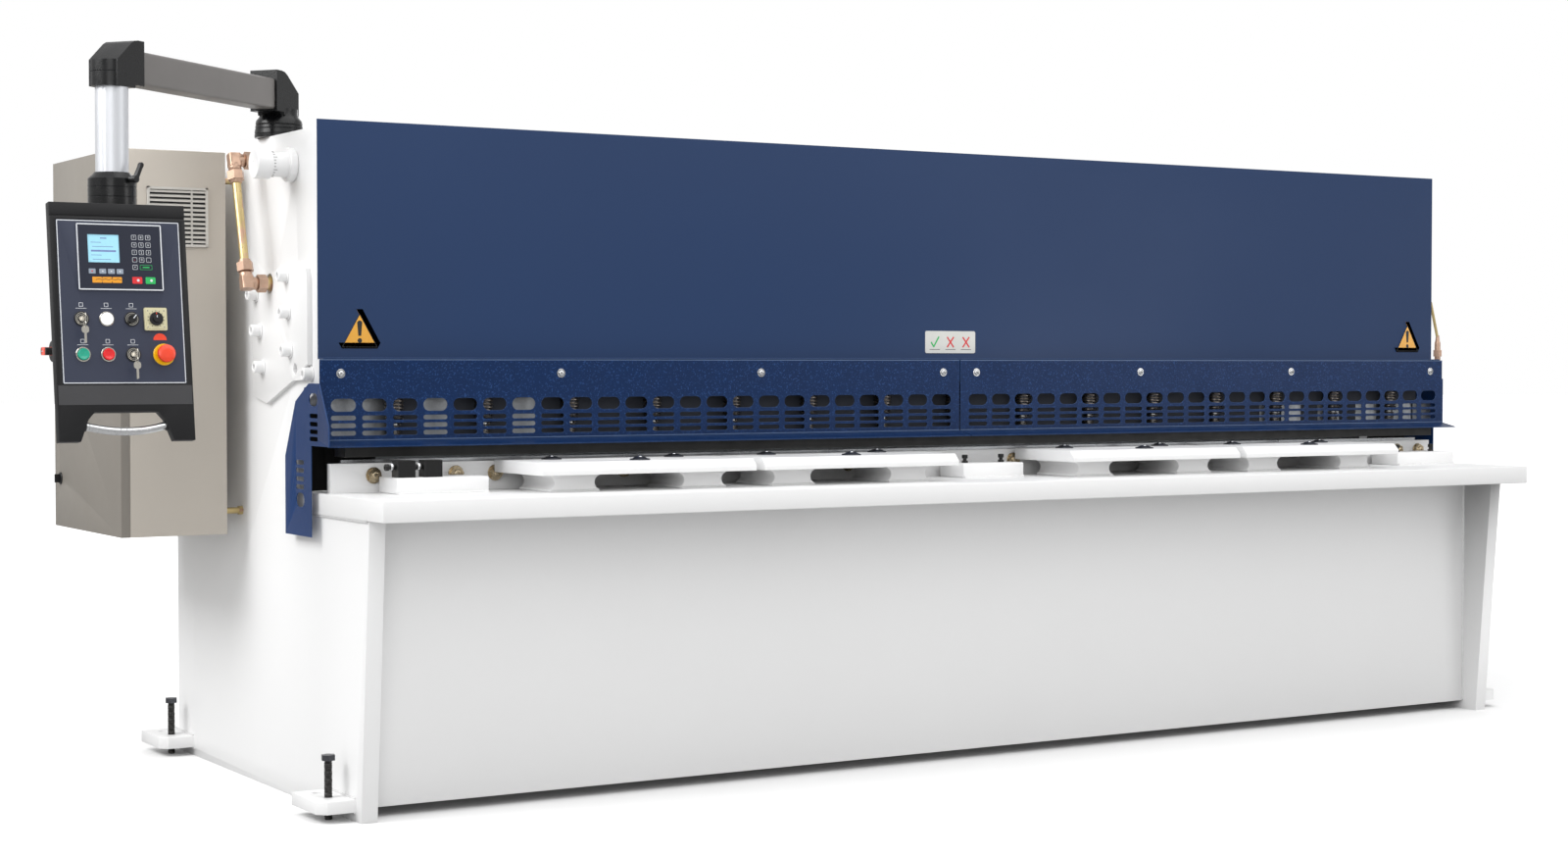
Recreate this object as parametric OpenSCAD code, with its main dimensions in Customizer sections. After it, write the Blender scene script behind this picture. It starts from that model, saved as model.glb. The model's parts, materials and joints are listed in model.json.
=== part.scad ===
// Hydraulic swing-beam plate shear with a pendant control and an electrical cabinet.
// Millimetres. +X runs along the blades to the right, +Y to the back, +Z up.
// Origin: floor level, midway between the four anchor holes.

/* [Frame] */
// Width over the two side plates
frame_w = 3622; // [2800:1:4600]
// Thickness of each side plate
plate_t = 40; // [25:1:60]
// Depth of the side plates at the floor
base_d = 1310; // [1180:1:1700]
// Height of the side plates
frame_h = 1605; // [1560:1:1900]
// Spacing of the front and back anchor holes
anchor_y = 1148; // [1050:1:1500]
// Thickness of each floor lug
lug_t = 30; // [15:1:45]
// Height of the levelling screw heads above the floor
screw_top = 150; // [110:1:180]

/* [Table] */
// Height of the table's top face
table_z = 743; // [700:1:790]
// Thickness of the table plate
table_t = 50; // [25:1:80]
// Reach of the table in front of the blade line
table_reach = 417; // [380:1:520]
// Height of the lower blade above the table
blade_rise = 77; // [70:1:90]
// Number of front support plates on each half of the table
plates_per_half = 2; // [1:1:3]
// Width of a support plate
support_w = 585; // [300:1:640]

/* [Blades] */
// Thickness of both blades
blade_t = 20; // [12:1:25]
// Height of the upper blade
blade_h = 80; // [60:1:100]
// Gap between the blade faces
blade_gap = 0.3; // [0.1:0.05:1]
// Opening between the blades at the left end
blade_open = 12; // [8:0.5:20]
// Rise of the upper blade from left to right
rake_rise = 60; // [20:1:80]

/* [Hold-down] */
// Number of hold-down cylinders
clamp_n = 15; // [7:1:21]
// Spacing of the hold-down cylinders
clamp_pitch = 233; // [160:1:240]
// Outer diameter of a hold-down cylinder
clamp_d = 44; // [30:1:46]

/* [Covers] */
// Height of the front cover's top edge
cover_top = 1620; // [1500:1:2000]
// Number of slot columns in each finger guard
slot_cols = 23; // [8:1:26]
// Spacing of the slot columns
slot_pitch = 77.7; // [60:0.1:80]
// Width of a slot
slot_w = 62; // [30:1:66]

/* [Cabinet] */
// Width of the electrical cabinet along X
cab_w = 268; // [200:1:400]
// Depth of the electrical cabinet along Y
cab_d = 586; // [450:1:640]
// Height of the electrical cabinet
cab_h = 952; // [700:1:1000]

/* [Pendant] */
// Length of the pendant arm between its two swivels
arm_len = 700; // [600:1:900]
// Direction of the arm, seen from above
arm_dir = 218.6; // [200:0.1:250]
// Width of the pendant housing
pend_w = 300; // [280:1:380]
// Height of the pendant housing
pend_h = 526; // [500:1:600]
// Lean of the pendant's face
pend_tilt = 8; // [0:1:15]

/* [Hidden] */
$fn = 48;
clear = 0.3;              // gap left between neighbouring pieces that move or only rest
run_gap = 0.05;           // radial gap of a shaft in its bore
eps = 0.01;

outer_x = frame_w / 2;
span_k = frame_w / 3622;   // stretch of the places chosen along the blades
inner_x = outer_x - plate_t;
lug_in = 42;              // anchor and levelling holes, out from the side plate
lug_len = 175;
lug_out = 90;
lug_z = 22;
lug_step = 73;            // levelling hole in front of the anchor hole
anchor_r = 11;
level_r = 10;
front_y = -anchor_y / 2 - 168;
rear_y = front_y + base_d;
front_lean = 55;
cut_y = -477;             // plane where the blades meet
table_front = cut_y - table_reach;
table_under = table_z - table_t;
throat_y = cut_y + 119;
throat_top = table_z + 197;
cover_y = cut_y - 29;
cover_t = 3;
cover_z = table_z + 315;
edge_y = cover_y + cover_t;
edge_z = table_z + 247;

blade_z = table_z + blade_rise;
holder_t = 25;
holder_y = cut_y - blade_t - holder_t;
holder_x = inner_x + 23;
lower_blade_x = inner_x - 11;
web_y = cut_y - 43;         // front of the web under the lower blade
bolt_z = table_z + 40;

pivot_y = cut_y + 885;
pivot_z = table_z + 125;
pin_r = 45;
boss_r = 80;
swing_x = inner_x - 16;
arm_t = 40;
rake_angle = atan(rake_rise / (2 * swing_x));
upper_y = cut_y + blade_gap;
beam_y = upper_y + blade_t;
beam_plate_t = 40;
beam_top = table_z + 422;
drive_y = cut_y + 297;
drive_x = inner_x - 131;
rod_r = 35;
barrel_r = 65;
shelf_z = beam_top + 125;
shelf_t = 35;

guide_z = blade_z + 8;
guide_h = 24;
clamp_y = cut_y - 35;
clamp_z = table_z + 257;
clamp_t = 25;
foot_r = 19;
foot_gap = 1;
guide_front = cut_y - 77;
guide_back = cut_y - 8.5;

guard_y = cover_y - 36;
guard_t = 2.5;
guard_top = cover_z - clear;
guard_low = table_z + 112;
guard_x = outer_x + 18;
guard_mid = 0;
guard_split = 2;
lip_out = 55;
lip_drop = 12;
guard_screw_z = table_z + 281;
guard_screw_step = 574;
guard_screw_first = 34;

knob_y = cut_y + 152;
knob_z = frame_h - 81;
shaft_r = 20;
deck_t = 25;

cab_x = -outer_x - 62 - cab_w;
cab_y = -20;
cab_z = 621;
door_t = 22;
sheet_t = 2;
lock_y = cab_y + cab_d - 53;
lock_z = cab_z + 126;
switch_z = cab_z + 459;

base_x = -inner_x;
base_y = cut_y + 353;
arm_z = frame_h + 103;
arm_h = 74;
arm_w = 62;
col_x = base_x + arm_len * cos(arm_dir);
col_y = base_y + arm_len * sin(arm_dir);
col_r = 36;
pend_top = frame_h - 205;
bell_h = 70;
bell_r = 53;
lever_turn = 30;          // clamp lever's place around the bell
pend_d = 118;
face_front = 61;          // face in front of the column's axis, at the housing's top
face_w = 272;
face_h = 360;
face_t = 3;
bezel_h = 3;

plate_paint = "whitesmoke";
guard_paint = "midnightblue";

module both() {
    children();
    mirror([1, 0, 0]) children();
}

// A flat outline in the Y-Z plane, extruded along X from x0 over the width w.
module slab_x(x0, w, points) {
    translate([x0, 0, 0]) rotate([90, 0, 90]) linear_extrude(w) polygon(points);
}

// A box from its low corner to its high corner.
module box(low, high) {
    translate(low) cube(high - low);
}

module rod_x(x0, x1, y, z, r) {
    translate([x0, y, z]) rotate([0, 90, 0]) cylinder(h = x1 - x0, r = r);
}

module rod_y(y0, y1, x, z, r) {
    translate([x, y0, z]) rotate([-90, 0, 0]) cylinder(h = y1 - y0, r = r);
}

module rod_z(z0, z1, x, y, r) {
    translate([x, y, z0]) cylinder(h = z1 - z0, r = r);
}

// A slot outline with round ends, w wide over all.
module slot_shape(w, h) {
    square([w - h, h], center = true);
    for (side = [-1, 1]) translate([side * (w - h) / 2, 0]) circle(d = h);
}

lug_rows = [-anchor_y / 2, anchor_y / 2];

// Bolts of the outer bracket on a side plate: distance behind the blade line, height over the table.
bracket_bolts = [[168, 516], [381, 476], [156, 428], [354, 386], [144, 336], [334, 296]];
front_bolt = [34, 280];
drain_hole = [111, 292];
line_low = [283, 500];
line_high = [370, 805];
line_out = 70;
line_r = 11;

module floor_lug(y) {
    chamfer = 20;
    difference() {
        translate([0, 0, lug_z]) linear_extrude(lug_t) polygon([
            [-outer_x + eps, y - lug_len + 37], [-outer_x - lug_out + chamfer, y - lug_len + 37],
            [-outer_x - lug_out, y - lug_len + 37 + chamfer], [-outer_x - lug_out, y + 37],
            [-outer_x + eps, y + 37]]);
        rod_z(lug_z - 1, lug_z + lug_t + 1, -outer_x - lug_in, y, anchor_r);
        rod_z(lug_z - 1, lug_z + lug_t + 1, -outer_x - lug_in, y - lug_step, level_r + run_gap);
    }
}

module side_plate() {
    color(plate_paint) difference() {
        union() {
            slab_x(-outer_x, plate_t, [
                [front_y, 0], [front_y - front_lean, table_under], [throat_y, table_under],
                [throat_y, throat_top], [edge_y, edge_z], [edge_y, frame_h],
                [rear_y, frame_h], [rear_y, 0]]);
            for (y = lug_rows) floor_lug(y);
        }
        rod_x(-outer_x - 1, -inner_x + 1, pivot_y, pivot_z, pin_r + run_gap);
        rod_x(-outer_x - 1, -inner_x + 1, knob_y, knob_z, shaft_r + run_gap);
        rod_x(-outer_x - 1, -inner_x + 1, cut_y + drain_hole[0], table_z + drain_hole[1], 13);
        for (p = [line_low, line_high])
            rod_x(-outer_x - 1, -inner_x + 1, cut_y + p[0], table_z + p[1], line_r + clear);
    }
}

module left_plate() {
    side_plate();
}

module right_plate() {
    mirror([1, 0, 0]) side_plate();
}

module levelling_screws() {
    head = 13;
    color("dimgray") both() for (y = lug_rows) {
        rod_z(0, screw_top - head, -outer_x - lug_in, y - lug_step, level_r);
        translate([-outer_x - lug_in, y - lug_step, screw_top - head])
            cylinder(h = head, d = 34, $fn = 6);
    }
}

module table_plate() {
    overhang = 7;
    color(plate_paint) {
        box([-outer_x - overhang, table_front, table_under], [outer_x + overhang, cut_y - 3, table_z]);
        both() box([-outer_x - overhang, cut_y - 3, table_under], [-inner_x - clear, throat_y - clear, table_z]);
    }
}

module front_panel() {
    panel_y = front_y + 54;
    color(plate_paint) box([-inner_x, panel_y, 25], [inner_x, panel_y + 15, table_under]);
}

// Members welded between the side plates.
module frame_webs() {
    rib_t = 20;
    panel_back = front_y + 69;
    color(plate_paint) {
        box([-inner_x, web_y, 60], [inner_x, web_y + 40, table_under]);
        for (i = [-2:2]) box([i * inner_x / 3 - rib_t / 2, panel_back, 120],
            [i * inner_x / 3 + rib_t / 2, web_y, table_under]);
        box([-inner_x, rear_y - 120, 80], [inner_x, rear_y, 200]);
        box([-inner_x, rear_y - 90, rail_low - 80], [inner_x, rear_y, rail_low]);
        box([-inner_x, edge_y, frame_h - deck_t], [inner_x, rear_y, frame_h]);
        both() difference() {
            box([-inner_x, drive_y - 120, shelf_z], [-drive_x + 120, drive_y + 120, shelf_z + shelf_t]);
            rod_z(shelf_z - 1, shelf_z + shelf_t + 1, -drive_x, drive_y, barrel_r + clear);
        }
    }
}

// Places of the bolts that hold the lower blade, along its length.
holder_bolt_x = [-1688, -1477, -1373, -1020, -666, -350, -33, 192, 520, 995, 1373, 1657, 1744];

module blade_holder() {
    color(plate_paint) difference() {
        box([-holder_x, holder_y, table_z], [holder_x, cut_y - blade_t, blade_z - 8]);
        for (x = holder_bolt_x)
            rod_y(holder_y - 1, cut_y, x * span_k, bolt_z, 9);
    }
}

module lower_blade() {
    color("silver") box([-lower_blade_x, cut_y - blade_t, table_z],
        [lower_blade_x, cut_y, blade_z]);
}

module holder_bolts() {
    color("goldenrod") for (x = holder_bolt_x) translate([x * span_k, holder_y, bolt_z]) {
        rotate([90, 0, 0]) cylinder(h = 3, r = 15);
        rotate([90, 0, 0]) translate([0, 0, 3]) cylinder(h = 11, d = 27, $fn = 6);
        rotate([90, 0, 0]) cylinder(h = 17, r = 8);
        rod_y(0, holder_t, 0, 0, 8);
    }
}

support_t = 30;
support_y = cut_y - 325;
support_z = blade_z - 5 - support_t;
support_gap = 25;
half_centre = 785 * span_k;
support_len = support_w * span_k;
support_x = [for (side = [-1, 1], i = [0:plates_per_half - 1])
    side * half_centre + (i - (plates_per_half - 1) / 2) * (support_len + support_gap)];

// A spacer with hollowed sides under a support plate.
module pillar(x) {
    w = 130;
    h = support_z - table_z;
    depth = 170;
    translate([x, support_y + 62 + depth, table_z]) rotate([90, 0, 0]) linear_extrude(depth) difference() {
        translate([-w / 2, 0]) square([w, h]);
        for (side = [-1, 1]) translate([side * (w / 2 + 4), h / 2]) circle(r = h / 2 - 5);
    }
}

module support_pillars() {
    color(plate_paint) for (x = support_x, side = [-1, 1]) pillar(x + side * support_len * 0.3);
}

ball_places = [[-0.29, 200], [0, 62], [0.29, 200]];
ball_cup_r = 15;

module support_plates() {
    bevel = 18;
    back = holder_y - 18;
    color(plate_paint) for (x = support_x) difference() {
        slab_x(x - support_len / 2, support_len, [
            [support_y + bevel, support_z + support_t], [support_y, support_z + support_t - bevel],
            [support_y, support_z], [back, support_z], [back, support_z + support_t]]);
        for (p = ball_places)
            rod_z(support_z + 8, support_z + support_t + 1,
                x + p[0] * support_len, support_y + p[1], ball_cup_r);
    }
}

module ball_units() {
    ball_r = 9;
    cup_top = support_z + support_t;
    color("silver") for (x = support_x, p = ball_places)
        translate([x + p[0] * support_len, support_y + p[1], support_z + 8]) {
            difference() {
                union() {
                    cylinder(h = support_t - 8, r = ball_cup_r);
                    translate([0, 0, support_t - 8]) cylinder(h = 1.5, r = ball_cup_r + 4);
                }
                translate([0, 0, support_t - 8 - 5]) sphere(r = ball_r + clear);
                translate([0, 0, support_t - 13]) cylinder(h = 20, r = ball_r - 0.6);
            }
            translate([0, 0, support_t - 8 - 5]) sphere(r = ball_r);
        }
}

pad_h = 38;
pad_y = holder_y - 128;
pad_d = 110;
pads = [[-1565, 235], [35, 200], [1650, 235]] * span_k;

module adjuster_pads() {
    color(plate_paint) for (p = pads)
        translate([p[0] - p[1] / 2, pad_y, table_z]) cube([p[1], pad_d, pad_h]);
}

module adjusters() {
    block = [44, 80, 40];
    z = table_z + pad_h;
    color("black") {
        for (i = [0, 1]) translate([pads[0][0] + (-110 + i * 68) * span_k, pad_y + 10, z]) {
            difference() {
                cube(block);
                rod_x(-1, block[0] + 1, 22, 24, 5);
            }
            rod_x(-14, block[0] + 6, 22, 24, 5);
            rod_x(-24, -14, 22, 24, 8);
        }
        for (p = [pads[1], pads[2]], side = [-1, 1])
            translate([p[0] + side * p[1] * 0.3, pad_y + 50, z]) {
                cylinder(h = 12, r = 5);
                translate([0, 0, 12]) difference() {
                    cylinder(h = 10, r = 8);
                    translate([0, 0, 5]) cylinder(h = 6, r = 4, $fn = 6);
                }
            }
    }
}

clamp_x = [for (i = [0:clamp_n - 1]) (i - (clamp_n - 1) / 2) * clamp_pitch * span_k];

module guide_bar() {
    color([0.09, 0.09, 0.1]) difference() {
        box([-inner_x, guide_front, guide_z], [inner_x, guide_back, guide_z + guide_h]);
        for (x = clamp_x) rod_z(guide_z - 1, guide_z + guide_h + 1, x, clamp_y, foot_r + foot_gap);
    }
}

module clamp_beam() {
    web = 3.5;
    color(plate_paint) difference() {
        union() {
            box([-inner_x, clamp_y - 22, clamp_z], [inner_x, guide_back, clamp_z + clamp_t]);
            box([-inner_x, guide_back - web, guide_z + guide_h], [inner_x, guide_back, clamp_z + eps]);
        }
        for (x = clamp_x) rod_z(clamp_z - 1, clamp_z + clamp_t + 1, x, clamp_y, 8 + clear);
    }
}

clamp_len = 95;
clamp_low = clamp_z - clamp_len;
spring_low = guide_z + guide_h + 14;
foot_rod_r = 9;

module clamp_cylinders() {
    color("dimgray") for (x = clamp_x) difference() {
        union() {
            rod_z(clamp_low, clamp_z, x, clamp_y, clamp_d / 2);
            rod_z(clamp_z, clamp_z + clamp_t + 14, x, clamp_y, 8);
        }
        rod_z(clamp_low - 1, clamp_z - 12, x, clamp_y, foot_rod_r + run_gap);
    }
}

module clamp_springs() {
    pitch = 5;
    turns = floor((clamp_low - spring_low - 2 * clear) / pitch);
    step = (clamp_low - spring_low - 2 * clear) / turns;
    color("darkslategray") for (x = clamp_x) translate([x, clamp_y, spring_low + clear])
        rotate_extrude() polygon(concat(
            [[12, 0]],
            [for (i = [0:turns - 1], q = [[15, 0], [17, step / 2]]) [q[0], i * step + q[1]]],
            [[15, turns * step], [12, turns * step]]));
}

module clamp_feet() {
    low = guide_z + 2;
    color("gray") for (x = clamp_x) {
        rod_z(low, spring_low, x, clamp_y, foot_r);
        rod_z(spring_low - eps, clamp_z - 27, x, clamp_y, foot_rod_r);
    }
}

// The cover is one folded sheet: face, ledge over the finger guard and a fixing strip behind it.
module front_cover() {
    strip_low = guard_screw_z - 24;
    ledge = cover_z;
    x0 = -outer_x - 8;
    color(guard_paint) slab_x(x0, -2 * x0, [
        [cover_y, cover_top], [cover_y, ledge + cover_t], [guard_y, ledge + cover_t], [guard_y, ledge],
        [guard_y + guard_t, ledge], [guard_y + guard_t, strip_low],
        [guard_y + guard_t + 2, strip_low], [guard_y + guard_t + 2, ledge],
        [edge_y, ledge], [edge_y, cover_top]]);
}

slot_rows = [[207, 30], [177, 11], [159, 11], [141, 11]];
function guard_screw_at(i) = -outer_x + guard_screw_first + i * guard_screw_step * span_k;
guard_w = guard_x - guard_split;

// One finger guard: a slotted sheet with a lip folded forward. It lies from x0 to the right.
module guard_sheet(x0, screw_x) {
    low = guard_low + lip_drop;
    step = slot_pitch * span_k;
    first = (guard_w - (slot_cols - 1) * step) / 2;
    difference() {
        translate([0, guard_y + guard_t, 0]) rotate([90, 0, 0]) linear_extrude(guard_t) difference() {
            translate([x0, low]) square([guard_w, guard_top - low]);
            for (i = [0:slot_cols - 1], r = slot_rows)
                translate([x0 + first + i * step, table_z + r[0]]) slot_shape(slot_w * span_k, r[1]);
        }
        for (x = screw_x) rod_y(guard_y - 1, guard_y + guard_t + 1, x, guard_screw_z, 4);
    }
    slab_x(x0, guard_w, [
        [guard_y, low], [guard_y + guard_t, low], [guard_y + guard_t, low - guard_t],
        [guard_y - lip_out, guard_low - guard_t], [guard_y - lip_out, guard_low]]);
}

left_screws = [for (i = [0:3]) guard_screw_at(i)];
right_screws = [for (i = [0:3]) -guard_screw_at(i)];

module finger_guards() {
    color(guard_paint) {
        guard_sheet(-guard_x, left_screws);
        guard_sheet(guard_split, right_screws);
    }
}

module guard_screws() {
    color("silver") for (x = concat(left_screws, right_screws)) translate([x, guard_y, guard_screw_z])
        rotate([90, 0, 0]) {
            cylinder(h = 1.6, r = 11);
            translate([0, 0, 1.6]) intersection() {
                translate([0, 0, -5]) sphere(r = 10);
                cylinder(h = 6, r = 8);
            }
            translate([0, 0, -guard_t]) cylinder(h = guard_t + 1, r = 3.5);
        }
}

// Side guard at the throat, standing off the side plate on two bosses.
side_guard_off = 25;
side_guard_t = 2.5;
side_boss = [[115, 240], [128, -80]];

module side_guard() {
    x0 = -outer_x - side_guard_off;
    outline = [[146, -103], [146, 83], [76, 215], [-11, 258], [-79, 258], [-139, 157],
        [-139, 112], [-24, 112], [-24, -103]];
    difference() {
        slab_x(x0, side_guard_t, [for (p = outline) [cut_y + p[0], table_z + p[1]]]);
        translate([x0 - 1, 0, 0]) rotate([90, 0, 90]) linear_extrude(side_guard_t + 2) {
            for (z = [71, 52, 32, 13]) translate([cut_y + 49, table_z + z]) slot_shape(54, 11);
            translate([cut_y + 47, table_z - 18]) slot_shape(54, 34);
            translate([cut_y - 40, table_z + 220]) slot_shape(54, 30);
            for (z = [182, 163, 145, 128]) translate([cut_y - 42, table_z + z]) slot_shape(54, 11);
        }
    }
    rod_x(x0 + side_guard_t - eps, -outer_x, cut_y + 20, table_z + 242, 7);
    rod_x(x0 + side_guard_t - eps, -outer_x, cut_y + 120, table_z - 88, 7);
}

module side_guards() {
    color(guard_paint) both() side_guard();
}

module triangle_plate(x) {
    side = 123;
    r = 9;
    translate([x, cover_y, cover_z + 21]) rotate([90, 0, 0]) linear_extrude(1) hull()
        for (p = [[-side / 2 + r, r], [side / 2 - r, r], [0, side * 0.9 - r]])
            translate(p) circle(r = r);
}

module warning_plates() {
    color("goldenrod") {
        triangle_plate(-outer_x + 96);
        triangle_plate(outer_x - 96);
    }
    color("lightgray") translate([-90, cover_y - 1, cover_z + 18]) cube([166, 1, 60]);
}

bracket_t = 12;

module side_bolts() {
    color(plate_paint) both() for (p = concat(bracket_bolts, [front_bolt]))
        translate([-outer_x - (p == front_bolt ? 0 : bracket_t), cut_y + p[0], table_z + p[1]])
            rotate([0, -90, 0]) {
                cylinder(h = 3, r = 19);
                difference() {
                    cylinder(h = 24, r = 15);
                    translate([0, 0, 14]) cylinder(h = 11, r = 8, $fn = 6);
                }
            }
}

module side_brackets() {
    points = [[131, 263], [308, 207], [407, 225], [407, 490], [330, 520], [92, 547],
        [60, 543], [38, 530], [30, 508], [30, 267]];
    color(plate_paint) both() difference() {
        slab_x(-outer_x - bracket_t, bracket_t, [for (p = points) [cut_y + p[0], table_z + p[1]]]);
        rod_x(-outer_x - bracket_t - 1, -outer_x + 1, cut_y + drain_hole[0], table_z + drain_hole[1], 13);
        rod_x(-outer_x - bracket_t - 1, -outer_x + 1, cut_y + front_bolt[0], table_z + front_bolt[1], 21);
        rod_x(-outer_x - bracket_t - 1, -outer_x + 1, cut_y + line_low[0], table_z + line_low[1], 24);
    }
}

module pivot_pins() {
    color("gray") both() {
        rod_x(-outer_x, -swing_x + arm_t + 14, pivot_y, pivot_z, pin_r);
        rod_x(-outer_x - 12, -outer_x, pivot_y, pivot_z, pin_r + 22);
    }
}

module swing_beam() {
    low_left = blade_z + blade_open + 18;
    box_back = drive_y + 60;
    color(plate_paint) difference() {
        union() {
            translate([0, beam_y + beam_plate_t, 0]) rotate([90, 0, 0]) linear_extrude(beam_plate_t)
                polygon([[-swing_x, low_left], [swing_x, low_left + rake_rise],
                    [swing_x, beam_top], [-swing_x, beam_top]]);
            slab_x(-swing_x, 2 * swing_x, [
                [beam_y + beam_plate_t - eps, beam_top - 30], [box_back, beam_top - 30],
                [box_back, beam_top], [beam_y + beam_plate_t - eps, beam_top]]);
            slab_x(-swing_x, 2 * swing_x, [
                [beam_y + beam_plate_t - eps, beam_top - 210], [box_back, beam_top - 30],
                [box_back - 34, beam_top - 30 + eps], [beam_y + beam_plate_t - eps, beam_top - 188]]);
            both() slab_x(-swing_x, arm_t, [
                [beam_y + beam_plate_t - eps, beam_top - 270], [beam_y + beam_plate_t - eps, beam_top],
                [box_back, beam_top], [pivot_y + 40, pivot_z + 69], [pivot_y, pivot_z - boss_r + 4]]);
            both() rod_x(-swing_x - 12, -swing_x + arm_t + 12, pivot_y, pivot_z, boss_r);
        }
        both() rod_x(-swing_x - 13, -swing_x + arm_t + 13, pivot_y, pivot_z, pin_r + run_gap);
    }
}

module upper_blade() {
    edge_left = blade_z + blade_open;
    color("dimgray") translate([0, beam_y, 0]) rotate([90, 0, 0]) linear_extrude(blade_t)
        polygon([[-swing_x, edge_left], [swing_x, edge_left + rake_rise],
            [swing_x, edge_left + rake_rise + blade_h], [-swing_x, edge_left + blade_h]]);
}

module drive_cylinders() {
    low = shelf_z - 50;
    top = shelf_z + shelf_t + 210;
    color("darkslategray") both() difference() {
        union() {
            rod_z(low, top, -drive_x, drive_y, barrel_r);
            rod_z(shelf_z + shelf_t, shelf_z + shelf_t + 28, -drive_x, drive_y, barrel_r + 30);
        }
        rod_z(low - 1, top - 30, -drive_x, drive_y, rod_r + run_gap);
    }
}

module drive_rods() {
    color("silver") both() rod_z(beam_top + 0.8, shelf_z + shelf_t + 150, -drive_x, drive_y, rod_r);
}

module gap_shaft() {
    base = 18;
    color(plate_paint) {
        rod_x(-outer_x - base - 42, outer_x, knob_y, knob_z, shaft_r);
        rod_x(-outer_x - base - 42, -outer_x - clear, knob_y, knob_z, 30);
        rod_x(-outer_x - base, -outer_x - clear, knob_y, knob_z, 41);
        rod_x(-outer_x - 98, -outer_x - base - 42, knob_y, knob_z, 36);
    }
}

// Pipe run outside a side plate: two elbows, nuts and a sloping tube between them.
module hydraulic_line() {
    x = -outer_x - line_out;
    low = [x, cut_y + line_low[0], table_z + line_low[1]];
    high = [x, cut_y + line_high[0], table_z + line_high[1]];
    lean = atan2(high[1] - low[1], high[2] - low[2]);
    span = norm(high - low);
    for (p = [low, high]) translate(p) {
        sphere(r = 17);
        rotate([0, 90, 0]) cylinder(h = line_out + plate_t, r = line_r);
        rotate([0, 90, 0]) translate([0, 0, 26]) cylinder(h = 22, d = 44, $fn = 6);
        rotate([0, 90, 0]) cylinder(h = line_out - 6, r = 15);
        rotate([0, 90, 0]) translate([0, 0, line_out - 12]) cylinder(h = 6, r = 19);
    }
    translate(low) rotate([-lean, 0, 0]) {
        cylinder(h = span, r = line_r);
        cylinder(h = 34, r = 15);
        translate([0, 0, 30]) cylinder(h = 22, d = 42, $fn = 6);
        translate([0, 0, span - 34]) cylinder(h = 34, r = 15);
        translate([0, 0, span - 52]) cylinder(h = 22, d = 42, $fn = 6);
    }
}

module hydraulic_lines() {
    color("peru") both() hydraulic_line();
}

tank_x = [-700, 500];
tank_y = [160, 500];
tank_low = frame_h - deck_t - 400;
tank_top = frame_h - deck_t;

module oil_tank() {
    wall = 5;
    color("lightslategray") difference() {
        box([tank_x[0], tank_y[0], tank_low], [tank_x[1], tank_y[1], tank_top]);
        box([tank_x[0] + wall, tank_y[0] + wall, tank_low + wall],
            [tank_x[1] - wall, tank_y[1] - wall, tank_top + 1]);
    }
}

module power_pack() {
    y = (tank_y[0] + tank_y[1]) / 2;
    z = tank_top - 190;
    color("steelblue") {
        rod_x(tank_x[1], tank_x[1] + 12, y, z, 125);
        rod_x(tank_x[1] + 12, tank_x[1] + 100, y, z, 75);
        rod_x(tank_x[1] + 100, tank_x[1] + 114, y, z, 125);
        rod_x(tank_x[1] + 114, tank_x[1] + 420, y, z, 105);
        rod_x(tank_x[1] + 420, tank_x[1] + 450, y, z, 85);
        box([tank_x[0] - 120, y - 60, z - 90], [tank_x[0], y + 60, z + 60]);
        for (i = [-1, 1]) rod_z(z + 60, z + 120, tank_x[0] - 60, y + i * 32, 22);
    }
}

rail_low = 695;
rail_h = 45;
rail_x = 1100 * span_k;
rail_top = rail_low + rail_h;
screw_z = rail_top + 25;
gauge_rest = cut_y + 97;
gauge_depth = 60;

module gauge_frame() {
    front = web_y + 40;
    back = rear_y - 68;
    color("slategray") {
        for (x = [-rail_x, 0, rail_x]) box([x - 30, front, rail_low], [x + 30, back, rail_top]);
        for (y = [front + 36, back - 50]) difference() {
            box([-35, y, rail_top], [35, y + 22, screw_z + 28]);
            rod_y(y - 1, y + 23, 0, screw_z, 12.5 + run_gap);
        }
        box([-45, back - 24, rail_top], [45, back + 54, screw_z + 42]);
    }
}

module gauge_beam() {
    y = gauge_rest;
    z = rail_top + 50;
    color("lightgray") difference() {
        union() {
            box([-1640 * span_k, y, z], [1640 * span_k, y + gauge_depth, z + 65]);
            for (x = [-rail_x, 0, rail_x])
                box([x - 45, y - 10, rail_top + clear], [x + 45, y + 110, z + eps]);
        }
        rod_y(y - 11, y + 111, 0, screw_z, 12.5 + run_gap);
    }
}

module gauge_screw() {
    color("silver") rod_y(web_y + 70, rear_y - 68 - 26, 0, screw_z, 12.5);
}

module rear_chute() {
    front = web_y + 40;
    low = 200;
    color("lightgray") slab_x(-inner_x + 60, 2 * inner_x - 120, [
        [front, table_under - 20], [rear_y - 4, low], [rear_y, low], [rear_y, low + 4],
        [front + 4, table_under - 14], [front, table_under - 14]]);
}

module cabinet_shell() {
    x0 = cab_x + door_t + clear;
    rim = 24;
    color("tan") difference() {
        box([x0, cab_y, cab_z], [cab_x + cab_w, cab_y + cab_d, cab_z + cab_h]);
        box([x0 + rim, cab_y + sheet_t, cab_z + sheet_t],
            [cab_x + cab_w - sheet_t, cab_y + cab_d - sheet_t, cab_z + cab_h - sheet_t]);
        box([x0 - 1, cab_y + rim, cab_z + rim],
            [x0 + rim + 1, cab_y + cab_d - rim, cab_z + cab_h - rim]);
    }
}

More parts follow.
